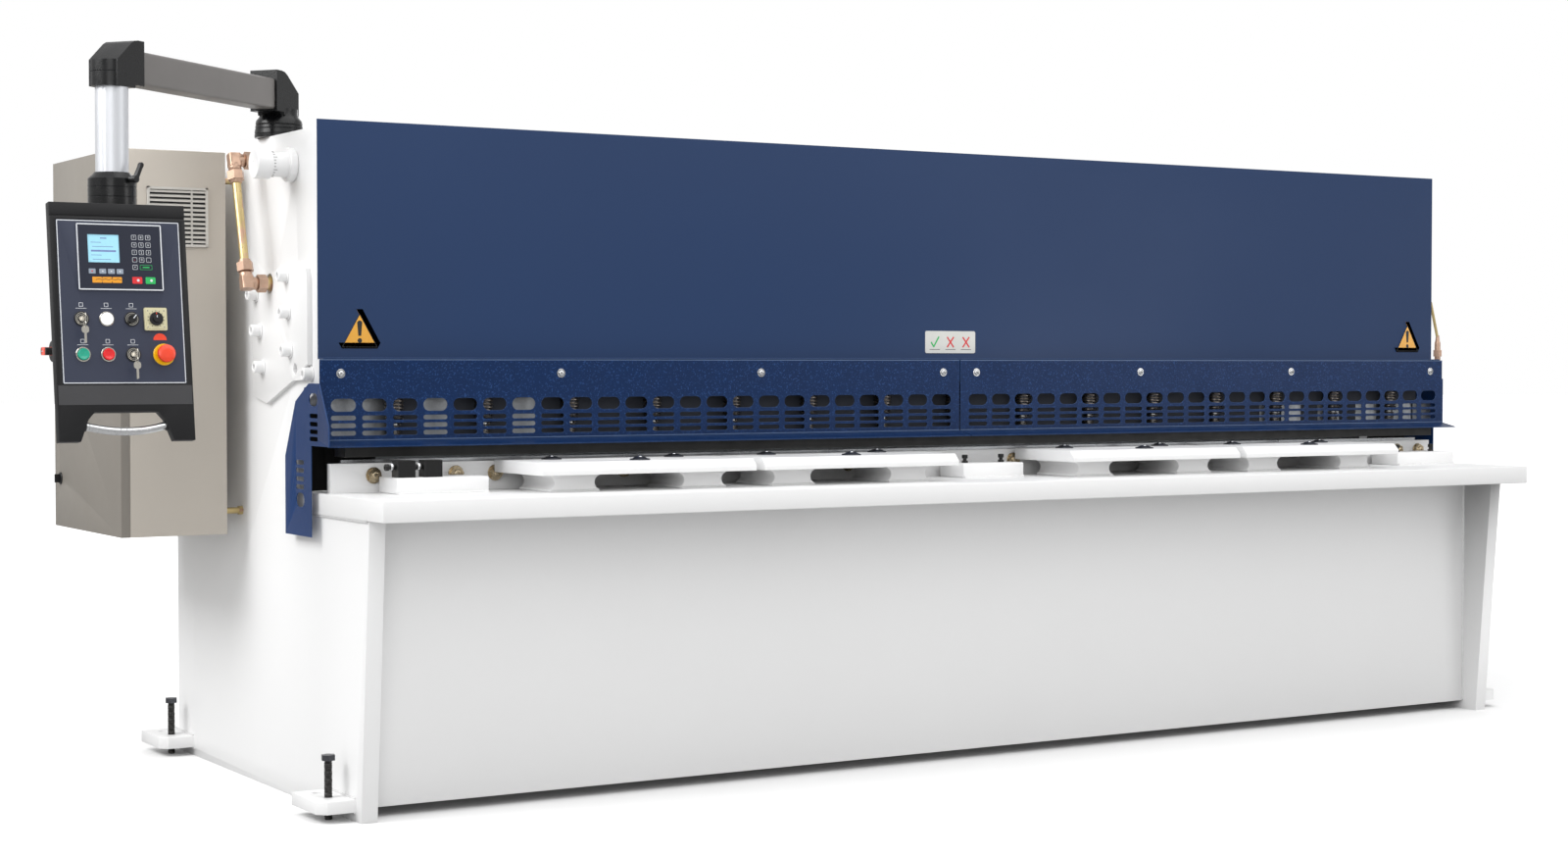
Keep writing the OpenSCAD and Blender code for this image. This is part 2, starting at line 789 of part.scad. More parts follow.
module cabinet_door() {
    color("tan") difference() {
        box([cab_x, cab_y, cab_z], [cab_x + door_t, cab_y + cab_d, cab_z + cab_h]);
        box([cab_x + sheet_t, cab_y + sheet_t, cab_z + sheet_t],
            [cab_x + door_t + 1, cab_y + cab_d - sheet_t, cab_z + cab_h - sheet_t]);
        rod_x(cab_x - 1, cab_x + door_t, lock_y, lock_z, 11 + run_gap);
        rod_x(cab_x - 1, cab_x + door_t, lock_y, switch_z, 8 + run_gap);
    }
}

module door_lock() {
    color("black") {
        rod_x(cab_x - 3, cab_x, lock_y, lock_z, 16);
        rod_x(cab_x - 3, cab_x + 12, lock_y, lock_z, 11);
        box([cab_x - 16, lock_y - 3, lock_z - 11], [cab_x - 3, lock_y + 3, lock_z + 11]);
        box([cab_x + 12, lock_y - 9, lock_z - 9], [cab_x + 15, lock_y + 36, lock_z + 9]);
    }
}

module cabinet_trim() {
    vent_w = 153;
    vent_h = 146;
    vent_x = cab_x + 68;
    vent_z = cab_z + 715;
    louvres = 12;
    color("silver") difference() {
        box([vent_x, cab_y - 6, vent_z], [vent_x + vent_w, cab_y, vent_z + vent_h]);
        for (i = [0:louvres - 1])
            box([vent_x + 6, cab_y - 7, vent_z + 6 + i * (vent_h - 8) / louvres],
                [vent_x + vent_w - 6, cab_y - 2, vent_z + 12 + i * (vent_h - 8) / louvres]);
    }
}

module switch_plate_at() {
    translate([cab_x, lock_y, switch_z]) rotate([0, -90, 0]) children();
}

module switch_knob() {
    color("red") switch_plate_at() {
        translate([0, 0, -14]) cylinder(h = 20, r = 8);
        translate([0, 0, clear]) cylinder(h = 22, r = 28);
        translate([-7, -26, 22]) cube([14, 52, 22]);
    }
}

module standoffs() {
    color("goldenrod") for (z = [cab_z + 55, frame_h - 98], y = [cab_y + 69, cab_y + cab_d - 69])
        rod_x(cab_x + cab_w, -outer_x, y, z, 8);
}

// Stands the arm's parts up at its rear swivel, with +X along the arm.
module at_arm() {
    translate([base_x, base_y, 0]) rotate([0, 0, arm_dir]) children();
}

module arm_base() {
    color("black") translate([base_x, base_y, frame_h]) {
        cylinder(h = 10, r = 60);
        translate([0, 0, 10]) cylinder(h = 22, r = 46);
    }
}

module arm() {
    low = frame_h + 32 + clear;
    top = arm_z + 50;
    tube_low = arm_z - arm_h / 2;
    color("black") at_arm() {
        translate([0, 0, low]) cylinder(h = 12, r = 52);
        translate([0, 0, low + 12]) cylinder(h = tube_low - low - 12 + eps, r = 45);
        translate([-45, -40, tube_low - 4]) cube([115, 80, arm_h + 8]);
        translate([0, 0, tube_low]) cylinder(h = top - tube_low - 10, r = 46);
        translate([arm_len - 70, -40, tube_low - 4]) cube([115, 80, arm_h + 8]);
        translate([arm_len, 0, tube_low - 12]) cylinder(h = top - tube_low + 2, r = 46);
        translate([arm_len, 0, arm_z + 38]) cylinder(h = 22, r = 38);
    }
    color("dimgray") at_arm()
        translate([60, -arm_w / 2, tube_low]) cube([arm_len - 120, arm_w, arm_h]);
}

bell_top = pend_top + bell_h;
lever_z = bell_top - 16;

module column() {
    color("silver") rod_z(bell_top - 30, arm_z - arm_h / 2 - 12, col_x, col_y, col_r);
}

// Stands parts on the pendant's face: +Z out of the face, +Y up it, from the top edge's middle.
module on_face(u, w) {
    translate([col_x - 8, col_y - face_front, pend_top]) rotate([-pend_tilt, 0, 0])
        translate([u, 0, -w]) rotate([90, 0, 0]) children();
}

module clamp_lever() {
    color("black") translate([col_x, col_y, lever_z]) rotate([0, 0, lever_turn]) {
        rod_y(-bell_r - 22, -bell_r - clear, 0, 0, 9);
        translate([-7, -bell_r - 22, 0]) cube([14, 10, 58]);
    }
}

// The housing's side outline, from its top front edge, in the face's own directions.
module panel_housing() {
    leg = 58;
    cut = 462;
    wall = 4;
    color([0.13, 0.13, 0.14]) difference() {
        union() {
            translate([col_x - 8, col_y - face_front, pend_top]) rotate([-pend_tilt, 0, 0])
                slab_x(-pend_w / 2, pend_w, [
                    [0, -2], [0, -pend_h], [45, -pend_h], [62, -pend_h + 110],
                    [pend_d, -300], [pend_d, -30]]);
            rod_z(pend_top - 30, bell_top, col_x, col_y, bell_r);
        }
        translate([col_x - 8, col_y - face_front, pend_top]) rotate([-pend_tilt, 0, 0])
            slab_x(-pend_w / 2 + wall, pend_w - 2 * wall, [
                [face_t + wall, -46], [face_t + wall, -cut + wall], [60, -cut + 20],
                [pend_d - wall, -300], [pend_d - wall, -46]]);
        rod_z(bell_top - 30 - clear, bell_top + 1, col_x, col_y, col_r + run_gap);
        on_face(0, 0) translate([-face_w / 2, -40 - face_h, -face_t]) cube([face_w, face_h, 20]);
        on_face(0, 0) translate([-pend_w / 2 + leg, -pend_h - 1, -80]) cube([pend_w - 2 * leg, pend_h - cut, 100]);
        on_face(0, 0) for (u = [-90, -35, 20], w = [258, 336])
            translate([u, -w, -30]) cylinder(h = 40, r = 11);
        on_face(0, 0) translate([88, -336, -30]) cylinder(h = 40, r = 11);
        on_face(0, 0) translate([72, -258, -30]) cylinder(h = 40, r = 11);
    }
}

module panel_face() {
    color("slategray") difference() {
        on_face(0, 0) translate([-face_w / 2, -40 - face_h, -face_t]) cube([face_w, face_h, face_t]);
        on_face(0, 0) for (u = [-90, -35, 20], w = [258, 336])
            translate([u, -w, -30]) cylinder(h = 40, r = 11);
        on_face(0, 0) translate([88, -336, -30]) cylinder(h = 40, r = 11);
        on_face(0, 0) translate([72, -258, -30]) cylinder(h = 40, r = 11);
    }
    color("dimgray") difference() {
        on_face(0, 0) translate([-94, -195, 0]) cube([188, 147, 4]);
        on_face(0, 0) translate([-70, -134, 2]) cube([76, 62, 4]);
    }
}

module ring(r) {
    difference() {
        cylinder(h = bezel_h, r = r);
        translate([0, 0, -1]) cylinder(h = bezel_h + 2, r = 9.6);
    }
}

module panel_fittings() {
    color("silver") {
        for (u = [-90, 20]) on_face(u, 258) ring(14.5);
        for (u = [-90, -35, 20]) on_face(u, 336) ring(14.5);
        on_face(-35, 258) {
            translate([0, 0, -20]) cylinder(h = 26, r = 9.5);
            cylinder(h = bezel_h, r = 14.5);
        }
    }
    color("gold") on_face(88, 336) difference() {
        cylinder(h = bezel_h, r = 24);
        translate([0, 0, -1]) cylinder(h = bezel_h + 2, r = 10.6);
    }
    color("wheat") on_face(72, 258) difference() {
        translate([-25, -25, 0]) cube([50, 50, 8]);
        translate([0, 0, -1]) cylinder(h = 20, r = 6.2);
    }
}

module panel_handle() {
    span = pend_w - 116;
    color("silver") on_face(0, pend_h - 26) rotate([0, 90, 0]) translate([0, 0, -span / 2]) {
        translate([14, 0, 0]) cylinder(h = span, r = 10);
    }
}

module button(u, w, r, out) {
    on_face(u, w) {
        translate([0, 0, -22]) cylinder(h = 22 + out, r = r);
    }
}

module green_button() {
    color("green") button(-90, 336, 9.5, 6);
}

module red_button() {
    color("red") button(-35, 336, 9.5, 6);
}

module estop_button() {
    color("red") on_face(88, 336) {
        translate([0, 0, -20]) cylinder(h = 34, r = 10.5);
        translate([0, 0, 14]) cylinder(h = 12, r = 20);
    }
}

module selector_knob() {
    color("black") on_face(20, 258) {
        translate([0, 0, -20]) cylinder(h = 26, r = 9.5);
        translate([-3, -10, 6]) cube([6, 20, 9]);
    }
}

module key_in_lock(u, w) {
    on_face(u, w) {
        translate([0, 0, -20]) cylinder(h = 24, r = 9.5);
        translate([-1, -7, 4]) cube([2, 14, 14]);
        translate([-1, 0, 24]) rotate([0, 90, 0]) cylinder(h = 2, r = 11);
    }
}

module key_upper() {
    color("silver") key_in_lock(-90, 258);
}

module key_lower() {
    color("silver") key_in_lock(20, 336);
}

module timer_dial() {
    color("dimgray") on_face(72, 258) {
        translate([0, 0, -10]) cylinder(h = 20, r = 6);
        translate([0, 0, 8.3]) cylinder(h = 8, r = 15);
    }
}

left_plate();
right_plate();
levelling_screws();
table_plate();
front_panel();
frame_webs();
blade_holder();
lower_blade();
holder_bolts();
support_pillars();
support_plates();
ball_units();
adjuster_pads();
adjusters();
guide_bar();
clamp_beam();
clamp_cylinders();
clamp_springs();
clamp_feet();
front_cover();
finger_guards();
guard_screws();
side_guards();
warning_plates();
side_bolts();
side_brackets();
swing_beam();
upper_blade();
pivot_pins();
drive_cylinders();
drive_rods();
gap_shaft();
hydraulic_lines();
oil_tank();
power_pack();
gauge_frame();
gauge_beam();
gauge_screw();
rear_chute();
cabinet_shell();
cabinet_door();
door_lock();
cabinet_trim();
switch_knob();
standoffs();
arm_base();
arm();
column();
clamp_lever();
panel_housing();
panel_face();
panel_fittings();
panel_handle();
green_button();
red_button();
estop_button();
selector_knob();
key_upper();
key_lower();
timer_dial();
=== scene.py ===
"""Looks for a hydraulic plate shear, laid out as an add-on: one operator per group of pieces."""
import json
import math

import bmesh
import bpy
from mathutils import Matrix, Vector

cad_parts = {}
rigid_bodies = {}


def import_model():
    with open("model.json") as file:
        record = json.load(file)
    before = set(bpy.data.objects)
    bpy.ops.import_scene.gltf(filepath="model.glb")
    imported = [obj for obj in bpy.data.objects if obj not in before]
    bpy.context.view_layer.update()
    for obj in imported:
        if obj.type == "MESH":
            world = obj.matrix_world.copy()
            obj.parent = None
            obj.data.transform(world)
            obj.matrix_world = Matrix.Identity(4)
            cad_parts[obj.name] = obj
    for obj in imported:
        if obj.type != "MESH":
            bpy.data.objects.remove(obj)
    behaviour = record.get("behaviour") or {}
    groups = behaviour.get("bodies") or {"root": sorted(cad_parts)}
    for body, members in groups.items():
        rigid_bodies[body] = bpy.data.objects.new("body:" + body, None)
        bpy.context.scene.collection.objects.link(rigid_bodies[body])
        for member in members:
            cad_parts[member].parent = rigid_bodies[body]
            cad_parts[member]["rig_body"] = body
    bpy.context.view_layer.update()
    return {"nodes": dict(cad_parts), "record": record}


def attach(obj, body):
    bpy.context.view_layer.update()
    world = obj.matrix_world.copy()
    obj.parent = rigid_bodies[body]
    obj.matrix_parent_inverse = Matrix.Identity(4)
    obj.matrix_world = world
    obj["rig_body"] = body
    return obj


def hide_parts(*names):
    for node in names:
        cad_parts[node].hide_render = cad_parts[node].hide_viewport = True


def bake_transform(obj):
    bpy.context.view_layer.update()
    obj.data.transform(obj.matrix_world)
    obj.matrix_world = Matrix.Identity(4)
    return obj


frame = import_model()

bl_info = {"name": "Plate shear looks", "version": (1, 0, 0), "blender": (4, 5, 0),
    "location": "3D View > Sidebar > Shear",
    "description": "Builds the finishes and small parts of a plate shear around its solid model",
    "category": "Object",}

MM = 0.001
TURN = 2 * math.pi

# Places in millimetres, in the frame of the solid model.
OUTER_X = 1811
INNER_X = 1771
CUT_Y = -477
TABLE_Z = 743
COVER_Y = -506
GUARD_Y = -542
HOLD_DOWN_Y = CUT_Y - 35
HOLD_DOWN_X = [(i - 7) * 233 for i in range(15)]
RIB_X = [-1770 + 77.7 * column for column in (0, 1, 3, 6)] + [77.7 * column + 60.8
    for column in (14, 15, 17, 19, 21, 22)]
SUPPORT_W = 585
SUPPORT_X = [-1090, -480, 480, 1090]
SUPPORT_Y = -802
SUPPORT_TOP = 815
# Centre and width of the three pads behind the support plates.
PADS = ((-1565, 235), (35, 200), (1650, 235))
BOLT_Z = 783
BOLT_X = [-1688, -1477, -1373, -1020, -666, -350, -33, 192, 520, 995, 1373, 1657, 1744]
HOLDER_FRONT = -522
# The camera, in metres, degrees and millimetres of lens.
CAMERA_PLACE = (-3.9537, -6.0745, 1.0464)
CAMERA_TURN = (88.525, 0, -31.527)
CAMERA_LENS = 57.416
CAMERA_FRAME = 36
# Name, place, aim, side of the soft box and power of each light; the first one's side is a setting.
LIGHTS = (
    ("overhead", (0.5, -2.5, 5.5), (0, 0, 0.6), None, 210),
    ("front_left", (-5.5, -7.5, 3.4), (-0.5, -0.4, 0.8), 4.0, 115),
    ("front_right", (5.5, -6.0, 2.4), (1.9, -0.7, 0.7), 3.0, 60),
    ("left", (-6.0, 1.0, 4.4), (-1.8, 0, 1.3), 2.6, 70),
    ("left_high", (-4.3, -0.5, 3.0), (-1.8, -0.2, 1.5), 2.0, 72),
    ("back", (3.0, 6.5, 4.2), (0, 0, 0.8), 4.0, 60))
# Half the width of the floor, in metres.
FLOOR = 60
# Dashes of the printed border on each side of a triangular sign.
DASHES = 11


# ---------------------------------------------------------------- settings

def linear(code):
    """An sRGB hex code as linear red, green and blue."""
    parts = [int(code[i:i + 2], 16) / 255 for i in (1, 3, 5)]
    return tuple(c / 12.92 if c <= 0.04045 else ((c + 0.055) / 1.055) ** 2.4 for c in parts)


def colour_setting(name, description, code):
    return bpy.props.FloatVectorProperty(name=name, description=description, subtype="COLOR",
        size=3, min=0, max=1, default=linear(code))


class ShearColours(bpy.types.PropertyGroup):
    """Colours of the painted and moulded parts."""
    frame_paint: colour_setting("Frame paint", "Enamel on the welded frame", "#ebebeb")
    cover_paint: colour_setting("Cover paint", "Satin paint on the front cover", "#1a3257")
    guard_paint: colour_setting("Guard paint", "Textured paint on the finger guards", "#0d2850")
    cabinet_paint: colour_setting("Cabinet paint", "Powder coat on the cabinet", "#bab3a9")
    sign_amber: colour_setting("Sign", "Ground of the triangular signs", "#e3a53a")
    housing_plastic: colour_setting("Pendant housing", "Moulded pendant housing", "#151517")
    face_film: colour_setting("Pendant face", "Film on the pendant's face plate", "#353a4b")


class ShearSizes(bpy.types.PropertyGroup):
    """Small sizes that the solid model leaves out."""
    plate_edge: bpy.props.FloatProperty(name="Plate edge",
        description="Rounding of flame-cut plate edges", default=0.0018, min=0.0005, max=0.004,
        unit="LENGTH")
    weld_leg: bpy.props.FloatProperty(name="Weld leg", description="Leg length of the fillet welds",
        default=0.006, min=0.003, max=0.01, unit="LENGTH")
    spring_turns: bpy.props.IntProperty(name="Spring turns",
        description="Turns of each return spring", default=7, min=4, max=12)
    thread_pitch: bpy.props.FloatProperty(name="Thread pitch",
        description="Pitch of the levelling screws", default=0.0035, min=0.0015, max=0.005,
        unit="LENGTH")
    louvres: bpy.props.IntProperty(name="Louvres", description="Slats of the cabinet's vent",
        default=12, min=6, max=18)
    sun_size: bpy.props.FloatProperty(name="Soft box", description="Side of the overhead soft box",
        default=7.0, min=2, max=12, unit="LENGTH")


# ---------------------------------------------------------------- materials

def add(tree, kind, inputs=None, **settings):
    """Adds a node with its settings, its values and its links."""
    node = tree.nodes.new(kind)
    for key, value in settings.items():
        setattr(node, key, value)
    for key, value in (inputs or {}).items():
        if isinstance(value, bpy.types.NodeSocket):
            tree.links.new(value, node.inputs[key])
        else:
            node.inputs[key].default_value = value
    return node


def rgba(colour, shade=1.0):
    return (*[c * shade for c in colour], 1.0)


def blended(tree, share, first, second):
    """A mix of two colours, each a socket or a value, by the share of the second."""
    node = add(tree, "ShaderNodeMix", {0: share, 6: first, 7: second}, data_type="RGBA")
    return node.outputs[2]


def finish(name, colour, tone, rough, patch, grain, depth, metal=0.0, stretch=(1, 1, 1),
        cells=False, coat=0.0, edge=None, specks=None, glow=0.0, spec=0.5):
    """A surface with slow tone changes over `patch` mm, a grain of `grain` mm standing `depth` mm
    proud, a roughness range, and where it is given a second colour in specks, and a paler colour on
    edges that is painted highlight."""
    if isinstance(colour, str):
        colour = linear(colour)
    made = bpy.data.materials.new(name)
    made.use_nodes = True
    tree = made.node_tree
    tree.nodes.clear()
    place = add(tree, "ShaderNodeTexCoord").outputs["Object"]
    slow = add(tree, "ShaderNodeTexNoise", {"Vector": place, "Scale": 1000 / patch, "Detail": 4.0,
        "Roughness": 0.6}).outputs["Fac"]
    spread = add(tree, "ShaderNodeMapRange", {"Value": slow, "From Min": 0.32, "From Max": 0.68})
    shown = blended(tree, spread.outputs["Result"], rgba(colour), rgba(colour, tone))
    along = add(tree, "ShaderNodeMapping", {"Vector": place, "Scale": stretch}).outputs["Vector"]
    if cells:
        fine = add(tree, "ShaderNodeTexVoronoi", {"Vector": along, "Scale": 1000 / grain},
            feature="SMOOTH_F1").outputs["Distance"]
    else:
        fine = add(tree, "ShaderNodeTexNoise", {"Vector": along, "Scale": 1000 / grain,
            "Detail": 2.0}).outputs["Fac"]
    if specks:
        size, share, speck_colour = specks
        dots = add(tree, "ShaderNodeTexNoise", {"Vector": place, "Scale": 1000 / size,
            "Detail": 1.0}).outputs["Fac"]
        mask = add(tree, "ShaderNodeMapRange", {"Value": dots, "From Min": 1 - share,
            "From Max": 1 - share + 0.08})
        shown = blended(tree, mask.outputs["Result"], shown, rgba(linear(speck_colour)))
    # Painted highlight: a paler colour along rounded edges, mottled by the slow noise; a little of
    # it stands for thinner paint on the edges.
    if edge:
        width, highlight_colour = edge
        soft = add(tree, "ShaderNodeBevel", {"Radius": width * MM}, samples=4).outputs["Normal"]
        flat = add(tree, "ShaderNodeNewGeometry").outputs["Normal"]
        turned = add(tree, "ShaderNodeVectorMath", {0: soft, 1: flat}, operation="DOT_PRODUCT")
        edge_highlight = add(tree, "ShaderNodeMapRange", {"Value": turned.outputs["Value"], "From Min": 0.985,
            "From Max": 0.86, "To Max": 0.85})
        mottled_highlight = add(tree, "ShaderNodeMath", {0: edge_highlight.outputs["Result"], 1: slow},
            operation="MULTIPLY")
        shown = blended(tree, mottled_highlight.outputs["Value"], shown, rgba(linear(highlight_colour)))
    dull = add(tree, "ShaderNodeMapRange", {"Value": slow, "From Min": 0.3, "From Max": 0.7,
        "To Min": rough[0], "To Max": rough[1]})
    bump = add(tree, "ShaderNodeBump", {"Height": fine, "Strength": 1.0, "Distance": depth * MM})
    surface = add(tree, "ShaderNodeBsdfPrincipled", {"Base Color": shown,
        "Roughness": dull.outputs["Result"], "Normal": bump.outputs["Normal"], "Metallic": metal,
        "Coat Weight": coat, "Coat Roughness": 0.12, "Specular IOR Level": spec})
    if glow:
        tree.links.new(shown, surface.inputs["Emission Color"])
        surface.inputs["Emission Strength"].default_value = glow
    add(tree, "ShaderNodeOutputMaterial", {"Surface": surface.outputs["BSDF"]})
    return made


def make_finishes(colours):
    """Every finish of the machine, by the name its pieces use. The numbers of a row are its
    darker tone, its range of roughness, the patches of tone, the grain and the grain's depth. An
    edge colour is painted highlight along the edges."""
    return {
        # Sprayed two-part enamel on ground plate: slight orange peel, satin gloss.
        "enamel": finish("White enamel on plate steel", colours.frame_paint, 0.985, (0.34, 0.44),
            700, 5, 0.02, spec=0.35),
        # Paint over a weld bead: thicker, glossier, and a little greyer in its ripples.
        "weld": finish("White enamel on weld bead", "#dddddd", 0.92, (0.25, 0.4), 20, 3, 0.1,
            coat=0.1),
        # Satin two-pack paint on folded sheet: almost flat, faint roller-free mottling.
        "cover": finish("Blue satin paint on sheet", colours.cover_paint, 0.965, (0.36, 0.44), 600,
            6, 0.012, edge=(1.5, "#5b7097"), spec=0.22),
        # Hammer-textured powder coat: 2 mm dimples, drawn 4 mm wide to show, with pale flecks.
        "hammer": finish("Blue hammer-texture powder coat", colours.guard_paint, 0.88, (0.28, 0.4),
            90, 4, 0.2, cells=True, edge=(1.4, "#5f779f"), specks=(3.6, 0.4, "#234070"), spec=0.18),
        # The same blue on the side guards, smoother and cleaner.
        "side_blue": finish("Blue powder coat", "#173768", 0.93, (0.3, 0.4), 120, 2, 0.03,
            edge=(1.2, "#5f7fb4"), spec=0.25),
        # Pale blue along a folded edge: painted highlight where the fold catches the light.
        "painted_highlight_blue": finish("Painted highlight on blue fold", "#5d7396", 0.8, (0.26, 0.36), 60, 2, 0.02),
        # Black matt sheets in the throat and on the swing beam: painted shade, standing in for the
        # shade in the throat.
        "throat_shade_black": finish("Black sheet of painted shade", "#161515", 0.8, (0.6, 0.75), 50, 2, 0.03, spec=0.2),
        # Fine-texture powder coat on sheet, 1 mm leather grain.
        "cabinet": finish("Beige powder coat on sheet", colours.cabinet_paint, 0.965, (0.42, 0.55),
            300, 1.6, 0.05, edge=(1.2, "#c9c3b9"), spec=0.3),
        # The same powder coat on the door, darkened as painted shade for the cabinet's −X side.
        "door": finish("Beige powder coat darkened as painted shade",
            tuple(c * 0.47 for c in colours.cabinet_paint), 0.96, (0.42, 0.55), 300, 1.6, 0.05,
            edge=(1.2, "#a9a298"), spec=0.3),
        # Grey machine enamel on cylinders, tank and pump.
        "grey": finish("Grey machine enamel", "#6e767e", 0.88, (0.32, 0.45), 120, 4, 0.05, coat=0.1,
            edge=(1.5, "#969da4")),
        # Pre-galvanised sheet: spangle of 12 mm flakes, matt.
        "galvanised": finish("Galvanised sheet", "#b9bcbf", 0.8, (0.34, 0.5), 14, 12, 0.01,
            metal=0.9, cells=True),
        # Ground tool steel: grinding lines along the blade, slight oil film.
        "ground": finish("Ground tool steel", "#b5b7ba", 0.8, (0.16, 0.3), 60, 1.2, 0.012,
            metal=1.0, stretch=(0.02, 1, 1), coat=0.1),
        # Black oxide on steel: near-black and oily; browner and brighter at the edges, partly
        # rubbed oxide and partly painted highlight.
        "black_oxide": finish("Black oxide steel", "#232323", 0.7, (0.3, 0.46), 30, 1.5, 0.02,
            metal=0.6, coat=0.12, edge=(0.8, "#8d8a86")),
        # Spring wire: oiled black, smooth along the wire.
        "spring": finish("Oiled spring steel", "#6b645e", 0.7, (0.22, 0.36), 12, 1.0, 0.01,
            metal=0.85, coat=0.2),
        # Cylinder tube: turned steel, dark, with tool lines round it.
        "turned": finish("Turned dark steel", "#54555a", 0.75, (0.25, 0.38), 40, 0.9, 0.015,
            metal=0.9, stretch=(0.05, 0.05, 1)),
        # Bright zinc or polished steel on balls, screws and rods.
        "bright": finish("Polished bright steel", "#c9cacb", 0.86, (0.12, 0.24), 25, 0.8, 0.006,
            metal=1.0),
        # Yellow chromate over zinc: gold drifting to rose and green.
        "yellow_zinc": finish("Yellow-passivated zinc", "#cdb884", 0.86, (0.26, 0.38), 30, 0.9,
            0.01, metal=0.85, stretch=(1, 1, 0.15), specks=(40, 0.44, "#c39f8a")),
        # Nuts and studs of the blade carrier: the same passivation, worn to bronze-silver; their
        # pale edges are painted highlight.
        "worn_zinc": finish("Worn passivated steel", "#b9a98c", 0.72, (0.2, 0.32), 10, 1.0, 0.01,
            metal=0.95, edge=(1.2, "#efe6d4")),
        # Copper-toned passivated fittings, duller than the pipe; their pale edges are painted
        # highlight.
        "copper": finish("Rose-passivated steel fitting", "#bf9f8a", 0.86, (0.3, 0.42), 16, 1.2,
            0.02, metal=0.75, edge=(1.0, "#ecd6c2")),
        # Screen-printed amber film on aluminium sheet.
        "sign": finish("Amber sign film", colours.sign_amber, 0.95, (0.32, 0.4), 50, 1, 0.01,
            coat=0.3),
        # Black screen ink.
        "ink": finish("Black screen ink", "#1f2022", 0.9, (0.4, 0.5), 30, 1, 0.01),
        # White and pale screen ink of borders and marks.
        "white_ink": finish("White screen ink", "#dadde2", 0.93, (0.4, 0.5), 30, 1, 0.01),
        # Anodised sign plate, satin pale grey.
        "sign_plate": finish("Satin sign plate", "#d5d5d0", 0.95, (0.3, 0.4), 40, 0.8, 0.01),
        # Glass-filled nylon, spark-eroded texture of the housing.
        "housing": finish("Textured black ABS", colours.housing_plastic, 0.88, (0.42, 0.55), 80,
            1.1, 0.05, edge=(1.5, "#4a4a4c"), spec=0.3),
        # The same ABS, rubbed lighter on the band that hands rest on.
        "housing_band": finish("Rubbed black ABS", "#414143", 0.9, (0.4, 0.5), 60, 1.1, 0.04,
            spec=0.3),
        # Die-cast knuckles in glossy black hammer paint.
        "cast_black": finish("Black hammer paint on casting", "#08090b", 0.7, (0.2, 0.34), 40, 3.4,
            0.12, cells=True, edge=(1.2, "#3c3d41"), spec=0.35),
        # Grey powder coat of the arm's box tube.
        "arm_grey": finish("Dark grey powder coat", "#6b6866", 0.93, (0.38, 0.48), 150, 1.3, 0.03),
        # Extruded aluminium, anodised, with draw lines along the tube.
        "aluminium": finish("Anodised aluminium tube", "#d3d5d9", 0.98, (0.42, 0.48), 200, 1.0,
            0.003, metal=0.8, stretch=(1, 1, 0.02)),
        # Polyester film over the face plate, fine matt.
        "film": finish("Matt polyester film", colours.face_film, 0.95, (0.36, 0.44), 90, 0.8, 0.01,
            spec=0.3),
        # The controller's own darker film.
        "controller": finish("Controller film", "#212534", 0.93, (0.3, 0.4), 60, 0.8, 0.01,
            spec=0.3),
        # Back-lit liquid crystal screen.
        "screen": finish("Back-lit screen", "#93c9dc", 0.9, (0.12, 0.16), 30, 2, 0.002, coat=0.6,
            glow=0.4),
        "screen_ink": finish("Screen rows", "#6f7fae", 0.9, (0.15, 0.2), 10, 2, 0.002, glow=0.2),
        # Membrane keys.
        "key_grey": finish("Grey membrane key", "#8f9aa8", 0.93, (0.35, 0.42), 20, 1, 0.01),
        "key_orange": finish("Orange membrane key", "#e79a1c", 0.93, (0.35, 0.42), 20, 1, 0.01),
        "key_red": finish("Red membrane key", "#d8262c", 0.93, (0.35, 0.42), 20, 1, 0.01),
        "key_green": finish("Green membrane key", "#22b25a", 0.93, (0.35, 0.42), 20, 1, 0.01),
        # Moulded polycarbonate lenses and buttons, glossy.
        "lens_white": finish("Lit white lens", "#f4f7ff", 0.97, (0.1, 0.16), 12, 1.5, 0.01,
            coat=0.5, glow=0.9),
        # The green and red push buttons glow faintly: painted light on buttons without a lamp.
        "lens_green": finish("Green polycarbonate", "#11a184", 0.85, (0.12, 0.2), 12, 1.5, 0.01,
            coat=0.5, glow=0.08),
        "lens_red": finish("Red polycarbonate", "#e01318", 0.85, (0.12, 0.2), 12, 1.5, 0.01,
            coat=0.5, glow=0.08),
        "stop_red": finish("Red nylon", "#ec4220", 0.93, (0.26, 0.34), 25, 1.2, 0.02, coat=0.2),
        "collar_yellow": finish("Yellow nylon", "#f2bd12", 0.93, (0.3, 0.4), 25, 1.2, 0.02),
        # Cream urea moulding of the timer.
        "timer_cream": finish("Cream moulded plastic", "#cfc9a4", 0.94, (0.34, 0.44), 30, 1.2,
            0.02),
        # Pale grey moulded vent.
        "vent": finish("Pale grey moulded vent", "#c6c3bd", 0.93, (0.4, 0.5), 60, 1.2, 0.02),
        "black_plastic": finish("Matt black nylon", "#171718", 0.85, (0.34, 0.46), 20, 1.0, 0.03,
            edge=(0.8, "#3c3c3e"), spec=0.35),
        # Chrome-plated lock cylinders and keys.
        "chrome": finish("Nickel-plated brass", "#c7c3ba", 0.85, (0.14, 0.26), 12, 0.6, 0.006,
            metal=1.0),
        # Dark grey on the hold-down beam, matt: painted shade for the beam's web, which lies in
        # shadow behind the guard's slots.
        "beam_shade_grey": finish("Dark grey painted shade", "#4c4f57", 0.85, (0.5, 0.6), 120, 3, 0.03, spec=0.25),
    }


FINISH = {}


# ---------------------------------------------------------------- shapes

